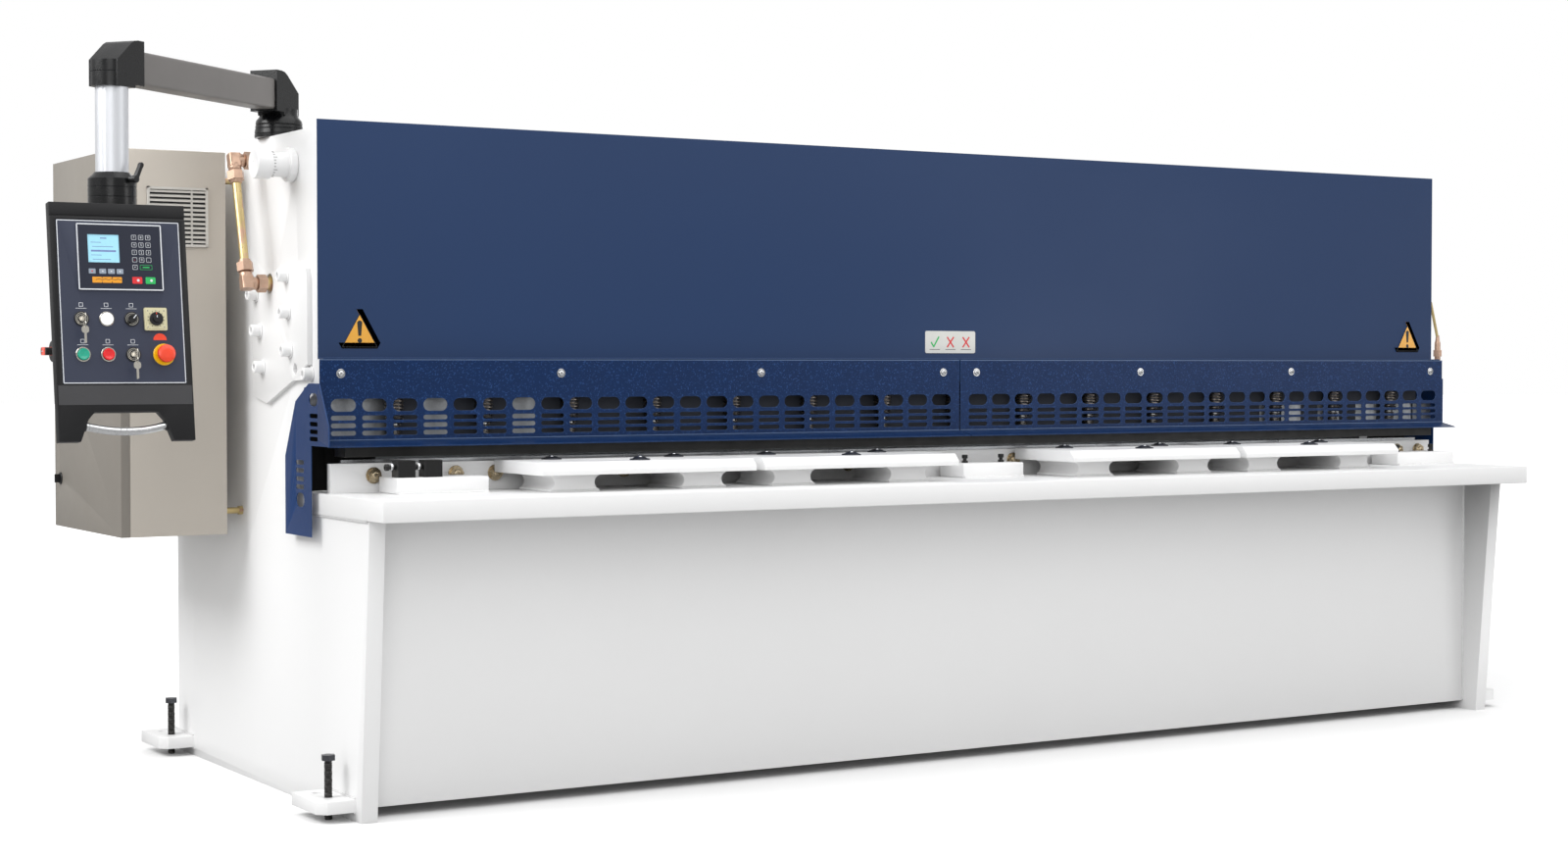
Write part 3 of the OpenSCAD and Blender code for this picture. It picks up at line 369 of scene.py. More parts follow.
class Shape:
    """A mesh in the making, in millimetres. Each solid added to it has its own finish."""

    def __init__(self):
        self.mesh = bmesh.new()
        self.finishes = []

    def mark(self, faces, look):
        """Gives the faces one finish."""
        if look not in self.finishes:
            self.finishes.append(look)
        for face in faces:
            face.material_index = self.finishes.index(look)

    def slab(self, outline, low, high, look, place=Matrix(), rounding=0.0, segments=2):
        """A flat outline raised from low to high along the place's Z."""
        rows = [[self.mesh.verts.new(place @ Vector((x, y, z))) for x, y in outline]
            for z in (low, high)]
        n = len(outline)
        faces = [self.mesh.faces.new(rows[0][::-1]), self.mesh.faces.new(rows[1])]
        for i in range(n):
            j = (i + 1) % n
            faces.append(self.mesh.faces.new([rows[0][i], rows[0][j], rows[1][j], rows[1][i]]))
        self.mark(faces, look)
        if rounding:
            edges = dict.fromkeys(e for f in faces for e in f.edges)
            sharp = [e for e in edges if e.calc_face_angle(0) > 0.6]
            bmesh.ops.bevel(self.mesh, geom=sharp, offset=rounding, segments=segments, profile=0.5,
                affect="EDGES", clamp_overlap=True)
        return self

    def block(self, low, high, look, place=Matrix(), rounding=0.0, segments=2):
        """A box from its low corner to its high corner."""
        outline = [(low[0], low[1]), (high[0], low[1]), (high[0], high[1]), (low[0], high[1])]
        return self.slab(outline, low[2], high[2], look, place, rounding, segments)

    def lathe(self, profile, look, place=Matrix(), steps=32):
        """A profile of (radius, height) pairs turned about the place's Z."""
        rings = []
        for radius, height in profile:
            if radius < 1e-6:
                rings.append([self.mesh.verts.new(place @ Vector((0, 0, height)))])
            else:
                rings.append([self.mesh.verts.new(place
                    @ Vector((radius * math.cos(TURN * i / steps),
                    radius * math.sin(TURN * i / steps), height))) for i in range(steps)])
        faces = []
        for a, b in zip(rings, rings[1:]):
            for i in range(steps):
                j = (i + 1) % steps
                corners = [a[i % len(a)], a[j % len(a)], b[j % len(b)], b[i % len(b)]]
                corners = [c for k, c in enumerate(corners) if c not in corners[:k]]
                if len(corners) > 2:
                    faces.append(self.mesh.faces.new(corners))
        for ring in (rings[0], rings[-1]):
            if len(ring) > 1:
                faces.append(self.mesh.faces.new(ring))
        self.mark(faces, look)
        return self

    def tube(self, path, radius, look, steps=16):
        """A round bar along a path of points, with closed ends."""
        path = [Vector(p) for p in path]
        rings = []
        side = None
        for i, point in enumerate(path):
            ahead = (path[min(i + 1, len(path) - 1)] - path[max(i - 1, 0)]).normalized()
            if side is None:
                side = ahead.orthogonal().normalized()
            side = (side - ahead * side.dot(ahead)).normalized()
            other = ahead.cross(side)
            rings.append([self.mesh.verts.new(point + radius * (side * math.cos(TURN * k / steps)
                + other * math.sin(TURN * k / steps))) for k in range(steps)])
        faces = [self.mesh.faces.new(rings[0][::-1]), self.mesh.faces.new(rings[-1])]
        for a, b in zip(rings, rings[1:]):
            for k in range(steps):
                m = (k + 1) % steps
                faces.append(self.mesh.faces.new([a[k], a[m], b[m], b[k]]))
        self.mark(faces, look)
        return self

    def take(self, mesh, look):
        """Adds a finished mesh in millimetres."""
        before = len(self.mesh.faces)
        self.mesh.from_mesh(mesh)
        self.mesh.faces.ensure_lookup_table()
        self.mark(self.mesh.faces[before:], look)
        bpy.data.meshes.remove(mesh)
        return self

    def soften(self, angle, offset, segments=2):
        """Rounds every edge that is sharper than the angle, in radians."""
        sharp = [e for e in self.mesh.edges if len(e.link_faces) == 2
            and e.calc_face_angle(0) > angle]
        bmesh.ops.bevel(self.mesh, geom=sharp, offset=offset, segments=segments, profile=0.5,
            affect="EDGES", clamp_overlap=True)

    def plain(self, name="part"):
        """The shape as a bare mesh in millimetres, with its faces outward."""
        bmesh.ops.recalc_face_normals(self.mesh, faces=self.mesh.faces)
        mesh = bpy.data.meshes.new(name)
        self.mesh.to_mesh(mesh)
        self.mesh.free()
        return mesh

    def object(self, name, angle=35):
        """The shape as an object in metres, shaded smooth up to the angle."""
        bmesh.ops.transform(self.mesh, matrix=Matrix.Scale(MM, 4), verts=self.mesh.verts)
        mesh = self.plain(name)
        for look in self.finishes:
            mesh.materials.append(FINISH[look])
        mesh.shade_smooth()
        mesh.set_sharp_from_angle(angle=math.radians(angle))
        return linked(name, mesh)

    def rider(self, name, body, slot=None, angle=35):
        """The shape as a piece that rides on a body and stands for no solid node."""
        made = self.object(name, angle)
        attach(made, body)
        return made

    def piece(self, name, node, angle=35, slot=None):
        """The shape as a piece that stands for a solid node, on its body, with the node hidden."""
        made = self.rider(name, body_of_node(node), slot or slot_of_node(node), angle)
        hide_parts(node)
        return made


def linked(name, data):
    """A new object in the scene."""
    made = bpy.data.objects.new(name, data)
    bpy.context.scene.collection.objects.link(made)
    return made


def evaluated(holder):
    """The plain mesh that an object comes to with its modifiers; the object is removed."""
    bpy.context.view_layer.update()
    ready = holder.evaluated_get(bpy.context.evaluated_depsgraph_get())
    mesh = bpy.data.meshes.new_from_object(ready)
    bpy.data.objects.remove(holder)
    mesh.materials.clear()
    return mesh


def turned(degrees, axis):
    return Matrix.Rotation(math.radians(degrees), 4, axis)


def at(x=0, y=0, z=0, along="z"):
    """A place whose Z points along an axis: z, x, -x, -y or y."""
    turns = {"z": (0, "Z"), "x": (90, "Y"), "-x": (-90, "Y"), "-y": (90, "X"), "y": (-90, "X")}
    return Matrix.Translation((x, y, z)) @ turned(*turns[along])


def ngon(radius, sides=6, turn=0.0):
    return [(radius * math.cos(TURN * i / sides + turn), radius * math.sin(TURN * i / sides + turn))
        for i in range(sides)]


def round_box(x0, y0, x1, y1, r, steps=5):
    """A rectangle outline with round corners."""
    points = []
    for cx, cy, start in ((x1 - r, y0 + r, -90), (x1 - r, y1 - r, 0), (x0 + r, y1 - r, 90),
            (x0 + r, y0 + r, 180)):
        for i in range(steps + 1):
            a = math.radians(start + 90 * i / steps)
            points.append((cx + r * math.cos(a), cy + r * math.sin(a)))
    return points


def body_of_node(node):
    return frame["nodes"][node]["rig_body"]


def slot_of_node(node):
    return next(s["material_slot"] for s in frame["record"]["subparts"] if s["node"] == node)


def softened_shape(node, look, rounding=1.8, angle=28, segments=2):
    """A copy of a node's solid, with its sharp edges rounded."""
    shape = Shape()
    mesh = shape.mesh
    mesh.from_mesh(frame["nodes"][node].data)
    bmesh.ops.transform(mesh, matrix=Matrix.Scale(1 / MM, 4), verts=mesh.verts)
    bmesh.ops.remove_doubles(mesh, verts=mesh.verts, dist=0.02)
    bmesh.ops.dissolve_limit(mesh, angle_limit=math.radians(0.4), verts=mesh.verts,
        edges=mesh.edges)
    shape.mark(mesh.faces, look)
    shape.soften(math.radians(angle), rounding, segments)
    return shape


def softened(name, node, look, rounding=1.8, angle=28, segments=2):
    """A copy of a node's solid with its sharp edges rounded, standing for the node."""
    shape = softened_shape(node, look, rounding, angle, segments)
    return shape.piece(name, node)


def coated(node, look):
    """Leaves a node's solid as it is and gives it a finish."""
    part = frame["nodes"][node]
    part.data.materials.clear()
    part.data.materials.append(FINISH[look])
    return part


# ---------------------------------------------------------------- repeated parts

def new_tree(name, inputs):
    """An empty geometry tree with named inputs, its input node and its output node."""
    tree = bpy.data.node_groups.new(name, "GeometryNodeTree")
    tree.is_modifier = True
    tree.interface.new_socket("Geometry", in_out="INPUT", socket_type="NodeSocketGeometry")
    for label, kind, default in inputs:
        socket = tree.interface.new_socket(label, in_out="INPUT", socket_type="NodeSocket" + kind)
        if default is not None:
            socket.default_value = default
    tree.interface.new_socket("Geometry", in_out="OUTPUT", socket_type="NodeSocketGeometry")
    return tree, add(tree, "NodeGroupInput").outputs


def close_tree(tree, geometry, material):
    """Ends a tree in real geometry with its finish."""
    real = add(tree, "GeometryNodeRealizeInstances", {"Geometry": geometry})
    done = add(tree, "GeometryNodeSetMaterial", {"Geometry": real.outputs[0], "Material": material})
    add(tree, "NodeGroupOutput", {"Geometry": done.outputs[0]})
    return tree


def copies_tree():
    """One part copied to every given point, each turned at random up to a range."""
    tree, given = new_tree("Copies at points", [("Part", "Object", None),
        ("Turn", "Vector", (0, 0, 0)), ("Seed", "Int", 7), ("Finish", "Material", None)])
    part = add(tree, "GeometryNodeObjectInfo", {"Object": given["Part"]})
    turn = add(tree, "FunctionNodeRandomValue", {"Min": (0, 0, 0), "Max": given["Turn"],
        "Seed": given["Seed"]}, data_type="FLOAT_VECTOR")
    copies = add(tree, "GeometryNodeInstanceOnPoints", {"Points": given["Geometry"],
        "Instance": part.outputs["Geometry"], "Rotation": turn.outputs[0]})
    return close_tree(tree, copies.outputs[0], given["Finish"])


def coil_tree():
    """A helix of wire at every given point: a spring, or with three sides a thread."""
    tree, given = new_tree("Coil", [("Coil Radius", "Float", 14.0), ("Wire Radius", "Float", 1.7),
        ("Height", "Float", 36.0), ("Turns", "Float", 7.0), ("Sides", "Int", 8),
        ("Finish", "Material", None)])
    spiral = add(tree, "GeometryNodeCurveSpiral", {"Resolution": 20, "Rotations": given["Turns"],
        "Start Radius": given["Coil Radius"], "End Radius": given["Coil Radius"],
        "Height": given["Height"]})
    wire = add(tree, "GeometryNodeCurvePrimitiveCircle", {"Resolution": given["Sides"],
        "Radius": given["Wire Radius"]})
    coil = add(tree, "GeometryNodeCurveToMesh", {"Curve": spiral.outputs[0],
        "Profile Curve": wire.outputs[0], "Fill Caps": True})
    copies = add(tree, "GeometryNodeInstanceOnPoints", {"Points": given["Geometry"],
        "Instance": coil.outputs[0]})
    return close_tree(tree, copies.outputs[0], given["Finish"])


def bead_tree():
    """A rippled fillet weld along every given edge."""
    tree, given = new_tree("Weld bead", [("Leg", "Float", 5.0), ("Ripple", "Float", 4.0),
        ("Unevenness", "Float", 0.25), ("Finish", "Material", None)])
    seam = add(tree, "GeometryNodeMeshToCurve", {"Mesh": given["Geometry"]})
    steps = add(tree, "GeometryNodeResampleCurve", {"Curve": seam.outputs[0],
        "Length": given["Ripple"]}, mode="LENGTH")
    noise = add(tree, "FunctionNodeRandomValue", {2: 0.0, 3: given["Unevenness"], "Seed": 3},
        data_type="FLOAT")
    grown = add(tree, "ShaderNodeMath", {0: noise.outputs[1], 1: 1.0}, operation="ADD")
    sized = add(tree, "GeometryNodeSetCurveRadius", {"Curve": steps.outputs[0],
        "Radius": grown.outputs[0]})
    ring = add(tree, "GeometryNodeCurvePrimitiveCircle", {"Resolution": 7, "Radius": given["Leg"]})
    bead = add(tree, "GeometryNodeCurveToMesh", {"Curve": sized.outputs[0],
        "Profile Curve": ring.outputs[0], "Fill Caps": True})
    if "Scale" in bead.inputs:
        tree.links.new(grown.outputs[0], bead.inputs["Scale"])
    return close_tree(tree, bead.outputs[0], given["Finish"])


def guard_tree():
    """A sheet pierced by columns of one tall slot over three low ones."""
    tree, given = new_tree("Slotted guard", [("Width", "Float", 1827.0), ("Height", "Float", 190.0),
        ("Thickness", "Float", 2.5), ("Columns", "Int", 23), ("Pitch", "Float", 77.7),
        ("Slot Width", "Float", 62.0), ("Tall Slot", "Float", 30.0), ("Low Slot", "Float", 11.0),
        ("First Slot", "Vector", (0, 0, 0)), ("Low Slots", "Vector", (0, 0, 0)),
        ("Row Step", "Vector", (0, -18, 0)), ("Finish", "Material", None)])
    sheet = add(tree, "GeometryNodeCurvePrimitiveQuadrilateral",
        {"Width": given["Width"], "Height": given["Height"]})
    loops = [sheet.outputs[0]]
    along = add(tree, "ShaderNodeCombineXYZ", {"X": given["Pitch"]})
    for size, first, rows in (("Tall Slot", "First Slot", 1), ("Low Slot", "Low Slots", 3)):
        outline = add(tree, "GeometryNodeCurvePrimitiveQuadrilateral",
            {"Width": given["Slot Width"], "Height": given[size]})
        radius = add(tree, "ShaderNodeMath", {0: given[size], 1: 0.499}, operation="MULTIPLY")
        slot = add(tree, "GeometryNodeFilletCurve", {"Curve": outline.outputs[0], "Count": 5,
            "Radius": radius.outputs[0]}, mode="POLY")
        row = add(tree, "GeometryNodeMeshLine", {"Count": rows, "Offset": given["Row Step"]})
        stack = add(tree, "GeometryNodeInstanceOnPoints", {"Points": row.outputs[0],
            "Instance": slot.outputs[0]})
        columns = add(tree, "GeometryNodeMeshLine", {"Count": given["Columns"],
            "Start Location": given[first], "Offset": along.outputs[0]})
        grid = add(tree, "GeometryNodeInstanceOnPoints", {"Points": columns.outputs[0],
            "Instance": stack.outputs[0]})
        loops.append(add(tree, "GeometryNodeRealizeInstances",
            {"Geometry": grid.outputs[0]}).outputs[0])
    joined = add(tree, "GeometryNodeJoinGeometry")
    for loop in loops:
        tree.links.new(loop, joined.inputs[0])
    face = add(tree, "GeometryNodeFillCurve", {"Curve": joined.outputs[0]})
    lift = add(tree, "ShaderNodeCombineXYZ", {"Z": given["Thickness"]})
    raised = add(tree, "GeometryNodeExtrudeMesh", {"Mesh": face.outputs[0],
        "Offset": lift.outputs[0], "Individual": False})
    under = add(tree, "GeometryNodeFlipFaces", {"Mesh": face.outputs[0]})
    both = add(tree, "GeometryNodeJoinGeometry")
    tree.links.new(raised.outputs[0], both.inputs[0])
    tree.links.new(under.outputs[0], both.inputs[0])
    whole = add(tree, "GeometryNodeMergeByDistance", {"Geometry": both.outputs[0],
        "Distance": 0.001})
    return close_tree(tree, whole.outputs[0], given["Finish"])


TREES = {}


def grown(tree_name, look, values, points=((0, 0, 0),), edges=()):
    """Runs a tree over points or seams and gives its plain mesh, in millimetres."""
    tree = TREES[tree_name]
    source = bpy.data.meshes.new("places")
    source.from_pydata([tuple(p) for p in points], list(edges), [])
    holder = linked("places", source)
    modifier = holder.modifiers.new("grow", "NODES")
    modifier.node_group = tree
    values = {"Finish": FINISH[look], **values}
    for item in tree.interface.items_tree:
        if item.in_out == "INPUT" and item.name in values:
            modifier[item.identifier] = values[item.name]
    holder.update_tag()
    mesh = evaluated(holder)
    bpy.data.meshes.remove(source)
    return mesh


def copies(shape, part, look, points, turn=(0, 0, 0)):
    """Adds copies of a part, itself a Shape, at the points."""
    mesh = part.plain()
    model = linked("part", mesh)
    shape.take(grown("copies", look, {"Part": model, "Turn": turn}, points), look)
    bpy.data.objects.remove(model)
    bpy.data.meshes.remove(mesh)
    return shape


# ---------------------------------------------------------------- frame and table

# A place that lays an outline of (Y, Z) points in the side view and raises it along X.
SIDE = Matrix(((0, 0, 1, 0), (1, 0, 0, 0), (0, 1, 0, 0), (0, 0, 0, 1)))


def build_frame():
    """Welded frame: side plates with floor lugs, table, front skin, webs and their welds."""
    sizes = bpy.context.scene.shear_sizes
    edge = sizes.plate_edge / MM
    for name, node, rounding in (("left_side_plate", "left_plate", edge),
            ("right_side_plate", "right_plate", edge), ("table_slab", "table_plate", edge * 1.2),
            ("front_skin", "front_panel", 0.8), ("inner_webs", "frame_webs", 1.5)):
        softened(name, node, "enamel", rounding)
    seams = []
    for side in (-1, 1):
        for y in (-574, 574):
            for z in (22, 52):
                seams.append(((side * OUTER_X, y - 136, z), (side * OUTER_X, y + 35, z)))
        seams.append(((side * (OUTER_X + 0.5), -792, 691.5), (side * (OUTER_X + 0.5), -362, 691.5)))
        seams.append(((side * INNER_X, -688, 28), (side * INNER_X, -688, 690)))
        seams.append(((side * INNER_X, 568, 640), (side * INNER_X, 568, 694)))
    seams.append(((-1768, -688, 692.5), (1768, -688, 692.5)))
    for x in SUPPORT_X:
        for side in (-1, 1):
            mid = x + side * SUPPORT_W * 0.3
            seams.append(((mid - 63, -740, 743.5), (mid + 63, -740, 743.5)))
    for x, w in PADS:
        seams.append(((x - w / 2 + 2, -650, 743.5), (x + w / 2 - 2, -650, 743.5)))
    points = [p for seam in seams for p in seam]
    edges = [(2 * i, 2 * i + 1) for i in range(len(seams))]
    leg = sizes.weld_leg / MM
    beads = grown("bead", "weld", {"Leg": leg * 0.75, "Ripple": leg * 0.7, "Unevenness": 0.22},
        points, edges)
    Shape().take(beads, "weld").rider("frame_welds", "frame", angle=80)


def build_table_fittings():
    """Blade carrier with its studs, support plates with ball cups, pads and adjusters."""
    for name, node, rounding in (("blade_carrier", "blade_holder", 1.2),
            ("support_tops", "support_plates", 1.4), ("support_spacers", "support_pillars", 1.6),
            ("adjuster_bases", "adjuster_pads", 3)):
        softened(name, node, "enamel", rounding)
    places = [(x + p * SUPPORT_W, SUPPORT_Y + y, SUPPORT_TOP) for x in SUPPORT_X
        for p, y in ((-0.29, 200), (0, 62), (0.29, 200))]
    cup = Shape().lathe([(0, -22), (15, -22), (15, 0), (25, 0), (25, 2), (24, 3), (17, 4.4),
        (13, 7.4), (10.6, 7.8), (9.7, 7), (9.7, 0), (0, -8)], "turned", steps=28)
    ball = Shape().lathe([(9 * math.sin(math.pi * i / 12), 2 - 9 * math.cos(math.pi * i / 12))
        for i in range(13)], "bright", steps=22)
    cups = copies(Shape(), cup, "turned", places)
    copies(cups, ball, "bright", places)
    cups.piece("ball_transfer_units", "ball_units")

    stud = Shape()
    front = at(along="-y")
    stud.lathe([(0, -25), (8, -25), (8, 0), (18.8, 0), (19.6, 0.7), (19.6, 2.4), (18.8, 3), (8, 3),
        (7.6, 14)] + [(8 - 0.7 * (i % 2), 14.2 + 0.45 * i) for i in range(5)]
        + [(6.2, 17), (3.2, 17), (2.6, 14.4), (0, 14)], "worn_zinc", front, 28)
    stud.slab(ngon(17.6), 3.1, 12.6, "worn_zinc", front, 1.5)
    stud.lathe([(0, 12), (11, 12), (11, 14), (10, 15), (0, 15)], "worn_zinc", front, 24)
    studs = copies(Shape(), stud, "worn_zinc", [(x, HOLDER_FRONT, BOLT_Z) for x in BOLT_X],
        (0, TURN, 0))
    studs.piece("carrier_studs", "holder_bolts", 30)

    parts = Shape()
    for i in (0, 1):
        x = -1675 + 68 * i
        parts.block((x, -640, 781), (x + 44, -602, 821), "black_oxide", rounding=1.4)
        parts.lathe([(0, -1), (5, -1), (5, 4), (0, 4)], "black_oxide", at(x + 45, -618, 805, "x"),
            18)
        screw = at(x - 24, -618, 805, "x")
        parts.lathe([(0, 4.5), (3.6, 4.5), (4.2, 0), (7, 0), (8, 1), (8, 9), (7.2, 10), (5, 10),
            (5, 24), (0, 24)], "black_oxide", screw, 24)
        parts.slab(ngon(9, turn=0.3), 13, 19, "bright", screw, 0.7)
        for y in (-630, -612):
            parts.lathe([(0, 0.2), (4.2, 0.2), (4.2, -0.1), (7.4, -0.1), (7.4, 0.3), (0, 0.3)],
                "black_oxide", at(x + 22, y, 821), 20)
    for x, w in PADS[1:]:
        for side in (-1, 1):
            place = at(x + side * w * 0.3, -600, 781)
            parts.lathe([(0, 0), (5, 0), (5, 12), (7.6, 12), (8, 12.5), (8, 20.8), (6.8, 22),
                (4.48, 22), (4, 21.4), (4, 16.5), (0, 16)], "black_oxide", place, 30)
            parts.slab(ngon(8.6, turn=0.2), 0.1, 6, "black_oxide", place, 0.8)
    parts.piece("stop_adjusters", "adjusters", 30)


def build_blades():
    """Both blades, ground on their faces."""
    softened("lower_shear_blade", "lower_blade", "ground", 0.4, segments=1)
    softened("upper_shear_blade", "upper_blade", "ground", 0.4, segments=1)


def build_hold_downs():
    """Hold-down beam, guide bar, cylinders, springs and feet."""
    sizes = bpy.context.scene.shear_sizes
    softened("guide_rail", "guide_bar", "black_oxide", 0.9, segments=1)
    # The beam is given dark grey: painted shade behind the guard's slots.
    softened("hold_down_beam", "clamp_beam", "beam_shade_grey", 1.2, segments=1)
    places = [(x, HOLD_DOWN_Y, 0) for x in HOLD_DOWN_X]
    barrel = Shape().lathe([(0, 988), (9.4, 988), (9.4, 905), (20, 905), (22, 907), (22, 911),
        (18, 912), (18, 992), (22, 993), (22, 998.4), (20.4, 1000), (8, 1000), (8, 1039),
        (0, 1039)], "turned", steps=32)
    barrels = copies(Shape(), barrel, "turned", places)
    wound = grown("coil", "spring", {"Coil Radius": 20.4, "Wire Radius": 3.0, "Height": 74.0,
        "Turns": float(sizes.spring_turns + 2), "Sides": 8}, [(x, HOLD_DOWN_Y, 915.5)
        for x in HOLD_DOWN_X])
    barrels.take(wound, "spring")
    nut = Shape().slab(ngon(13), 1025.3, 1036, "black_oxide", Matrix(), 1.0)
    copies(barrels, nut, "black_oxide", places, (0, 0, TURN))
    for columns, top in ((RIB_X[:4], 994), (RIB_X[4:], 926)):
        rib = Shape().block((-22, -490.4, 862), (64, -488.6, top), "galvanised", rounding=0.5)
        copies(barrels, rib, "galvanised", [(x, 0, 0) for x in columns])
    barrels.piece("hold_down_cylinders", "clamp_cylinders")
    spring = grown("coil", "spring", {"Coil Radius": 14.6, "Wire Radius": 1.9, "Height": 34.4,
        "Turns": float(sizes.spring_turns), "Sides": 8}, [(x, HOLD_DOWN_Y, 868.3)
        for x in HOLD_DOWN_X])
    springs = Shape().take(spring, "spring").object("return_springs", 60)
    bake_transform(springs)
    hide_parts("clamp_springs")
    foot = Shape().lathe([(0, 830), (17.6, 830), (19, 831.4), (19, 838), (17.9, 838.6),
        (17.9, 840.4), (19, 841), (19, 864.6), (17.6, 866), (9, 866), (9, 972), (8, 973), (0, 973)],
        "bright", steps=32)
    copies(Shape(), foot, "bright", places).piece("hold_down_feet", "clamp_feet")


# ---------------------------------------------------------------- covers and signs

def round_outline(centres, r, steps=6):
    """The outline round circles of one radius at the corners of a convex shape, anticlockwise."""
    points = []
    n = len(centres)
    for i, (x, y) in enumerate(centres):
        before = Vector((x - centres[i - 1][0], y - centres[i - 1][1]))
        after = Vector((centres[(i + 1) % n][0] - x, centres[(i + 1) % n][1] - y))
        start = math.atan2(-before.x, before.y)
        end = math.atan2(-after.x, after.y)
        start, end = start + math.pi, end + math.pi
        while end < start:
            end += TURN
        for k in range(steps + 1):
            a = start + (end - start) * k / steps
            points.append((x + r * math.cos(a), y + r * math.sin(a)))
    return points


def stroke(shape, ends, width, low, high, look, place):
    """A flat line of one width between two points on a face."""
    a, b = Vector(ends[0]), Vector(ends[1])
    along = (b - a).normalized() * width / 2
    side = Vector((-along.y, along.x))
    shape.slab([tuple(a - side), tuple(b - side), tuple(b + side), tuple(a + side)], low, high,
        look, place)


def frame_line(shape, x0, y0, x1, y1, width, low, high, look, place):
    """A rectangular border line."""
    corners = ((x0, y0), (x1, y0), (x1, y1), (x0, y1))
    for a, b in zip(corners, corners[1:] + corners[:1]):
        stroke(shape, (a, b), width, low, high, look, place)


def build_covers():
    """Front cover, slotted finger guards with their screws, and side guards."""
    softened("front_cover_sheet", "front_cover", "cover", 1.2)
    sides = softened_shape("side_guards", "side_blue", 0.5, 28, 1)
    bmesh.ops.delete(sides.mesh, geom=[v for v in sides.mesh.verts if v.co.x > 0], context="VERTS")
    outline = [(CUT_Y + y, TABLE_Z + z) for y, z in ((146, -103), (146, 83), (76, 215), (-11, 258),
        (-62, 258), (-62, 112), (-24, 112), (-24, -103))]
    sides.slab(outline, 1833.5, 1836, "side_blue", SIDE, 0.5, 1)
    sides.piece("throat_guards", "side_guards", slot="hammer_blue")
    guards = Shape()
    for centre in (-915.5, 915.5):
        sheet = grown("guard", "hammer", {"Width": 1827.0, "Height": 190.7, "Thickness": 2.5,
            "Columns": 23, "Pitch": 77.7, "Slot Width": 62.0, "Tall Slot": 30.0, "Low Slot": 11.0,
            "First Slot": (-854.7, -12.35, 0), "Low Slots": (-854.7, -42.35, 0)})
        sheet.transform(at(centre, GUARD_Y + 2.5, 962.35) @ turned(90, "X"))
        guards.take(sheet, "hammer")
    guards.soften(1.2, 0.5, 1)
    for low, high in ((-1829, -2), (2, 1829)):
        guards.slab([(GUARD_Y, 867), (GUARD_Y - 55, 855), (GUARD_Y - 55, 852.5),
            (GUARD_Y + 2.5, 864.5), (GUARD_Y + 2.5, 867)], low, high, "hammer", SIDE, 0.7)
        # Pale strips along the ledge's fold and the sheet's top edge: painted highlight.
        for z in (867.4, 1055.8):
            guards.block((low, GUARD_Y - 0.3, z), (high, GUARD_Y + 0.5, z + 1.5), "painted_highlight_blue")
    guards.piece("finger_guard_sheets", "finger_guards", 30)

    screw = Shape().lathe([(0, 0), (10.4, 0), (11, 0.5), (11, 1.1), (10.4, 1.6), (8, 1.6),
        (7.6, 3.2), (6.4, 4.8), (4.4, 5.8), (2.6, 6.1), (2.2, 3.2), (0, 3)], "bright",
        at(along="-y"), 28)
    places = [(side * (-1777 + 574 * i), GUARD_Y, 1024) for side in (1, -1) for i in range(4)]
    copies(Shape(), screw, "bright", places, (0, TURN, 0)).piece("guard_screw_heads",
        "guard_screws")


def build_signs():
    """Triangular signs with an exclamation mark, and a plate of three plain marks."""
    signs = Shape()
    corners = [(-52.5, 9), (52.5, 9), (0, 101.7)]
    for x in (-1715, 1715):
        face = at(x, COVER_Y, 1079, "-y")
        signs.slab(round_outline(corners, 9), 0, 0.9, "sign", face, 0.25, 1)
        inner = [(-44, 7.6), (44, 7.6), (0, 85)]
        for i in range(3):
            a, b = Vector(inner[i]), Vector(inner[(i + 1) % 3])
            for k in range(DASHES):
                ends = (a.lerp(b, (k + 0.12) / DASHES), a.lerp(b, (k + 0.88) / DASHES))
                stroke(signs, ends, 1.6, 0.9, 1.05, "ink", face)
        signs.slab([(-3.6, 34), (3.6, 34), (6.4, 66), (3, 70), (-3, 70), (-6.4, 66)], 0.9, 1.05,
            "ink", face)
        signs.slab(ngon(5.6, 20), 0.9, 1.05, "ink", face @ at(0, 23, 0))
    face = at(-7, COVER_Y, 1106, "-y")
    signs.slab(round_box(-83, -30, 83, 30, 5), 0, 0.9, "sign_plate", face, 0.2, 1)
    for x, look, lines in ((-52, "key_green", (((-12, 0), (-3, -13)), ((-3.5, -13), (14, 15)))),
            (0, "key_red", (((-11, -14), (11, 14)), ((-11, 14), (11, -14)))),
            (52, "key_red", (((-11, -14), (11, 14)), ((-11, 14), (11, -14))))):
        for depth, ends in enumerate(lines):
            moved = [(a + x, b) for a, b in ends]
            stroke(signs, moved, 4.2, 0.9, 1.05 + 0.03 * depth, look, face)
        stroke(signs, ((x - 17, -20), (x + 17, -20)), 1.4, 0.9, 1.0, "ink", face)
    signs.piece("sign_plates", "warning_plates")


# ---------------------------------------------------------------- sides

BRACKET_BOLTS = [(168, 516), (381, 476), (156, 428), (354, 386), (144, 336), (334, 296)]


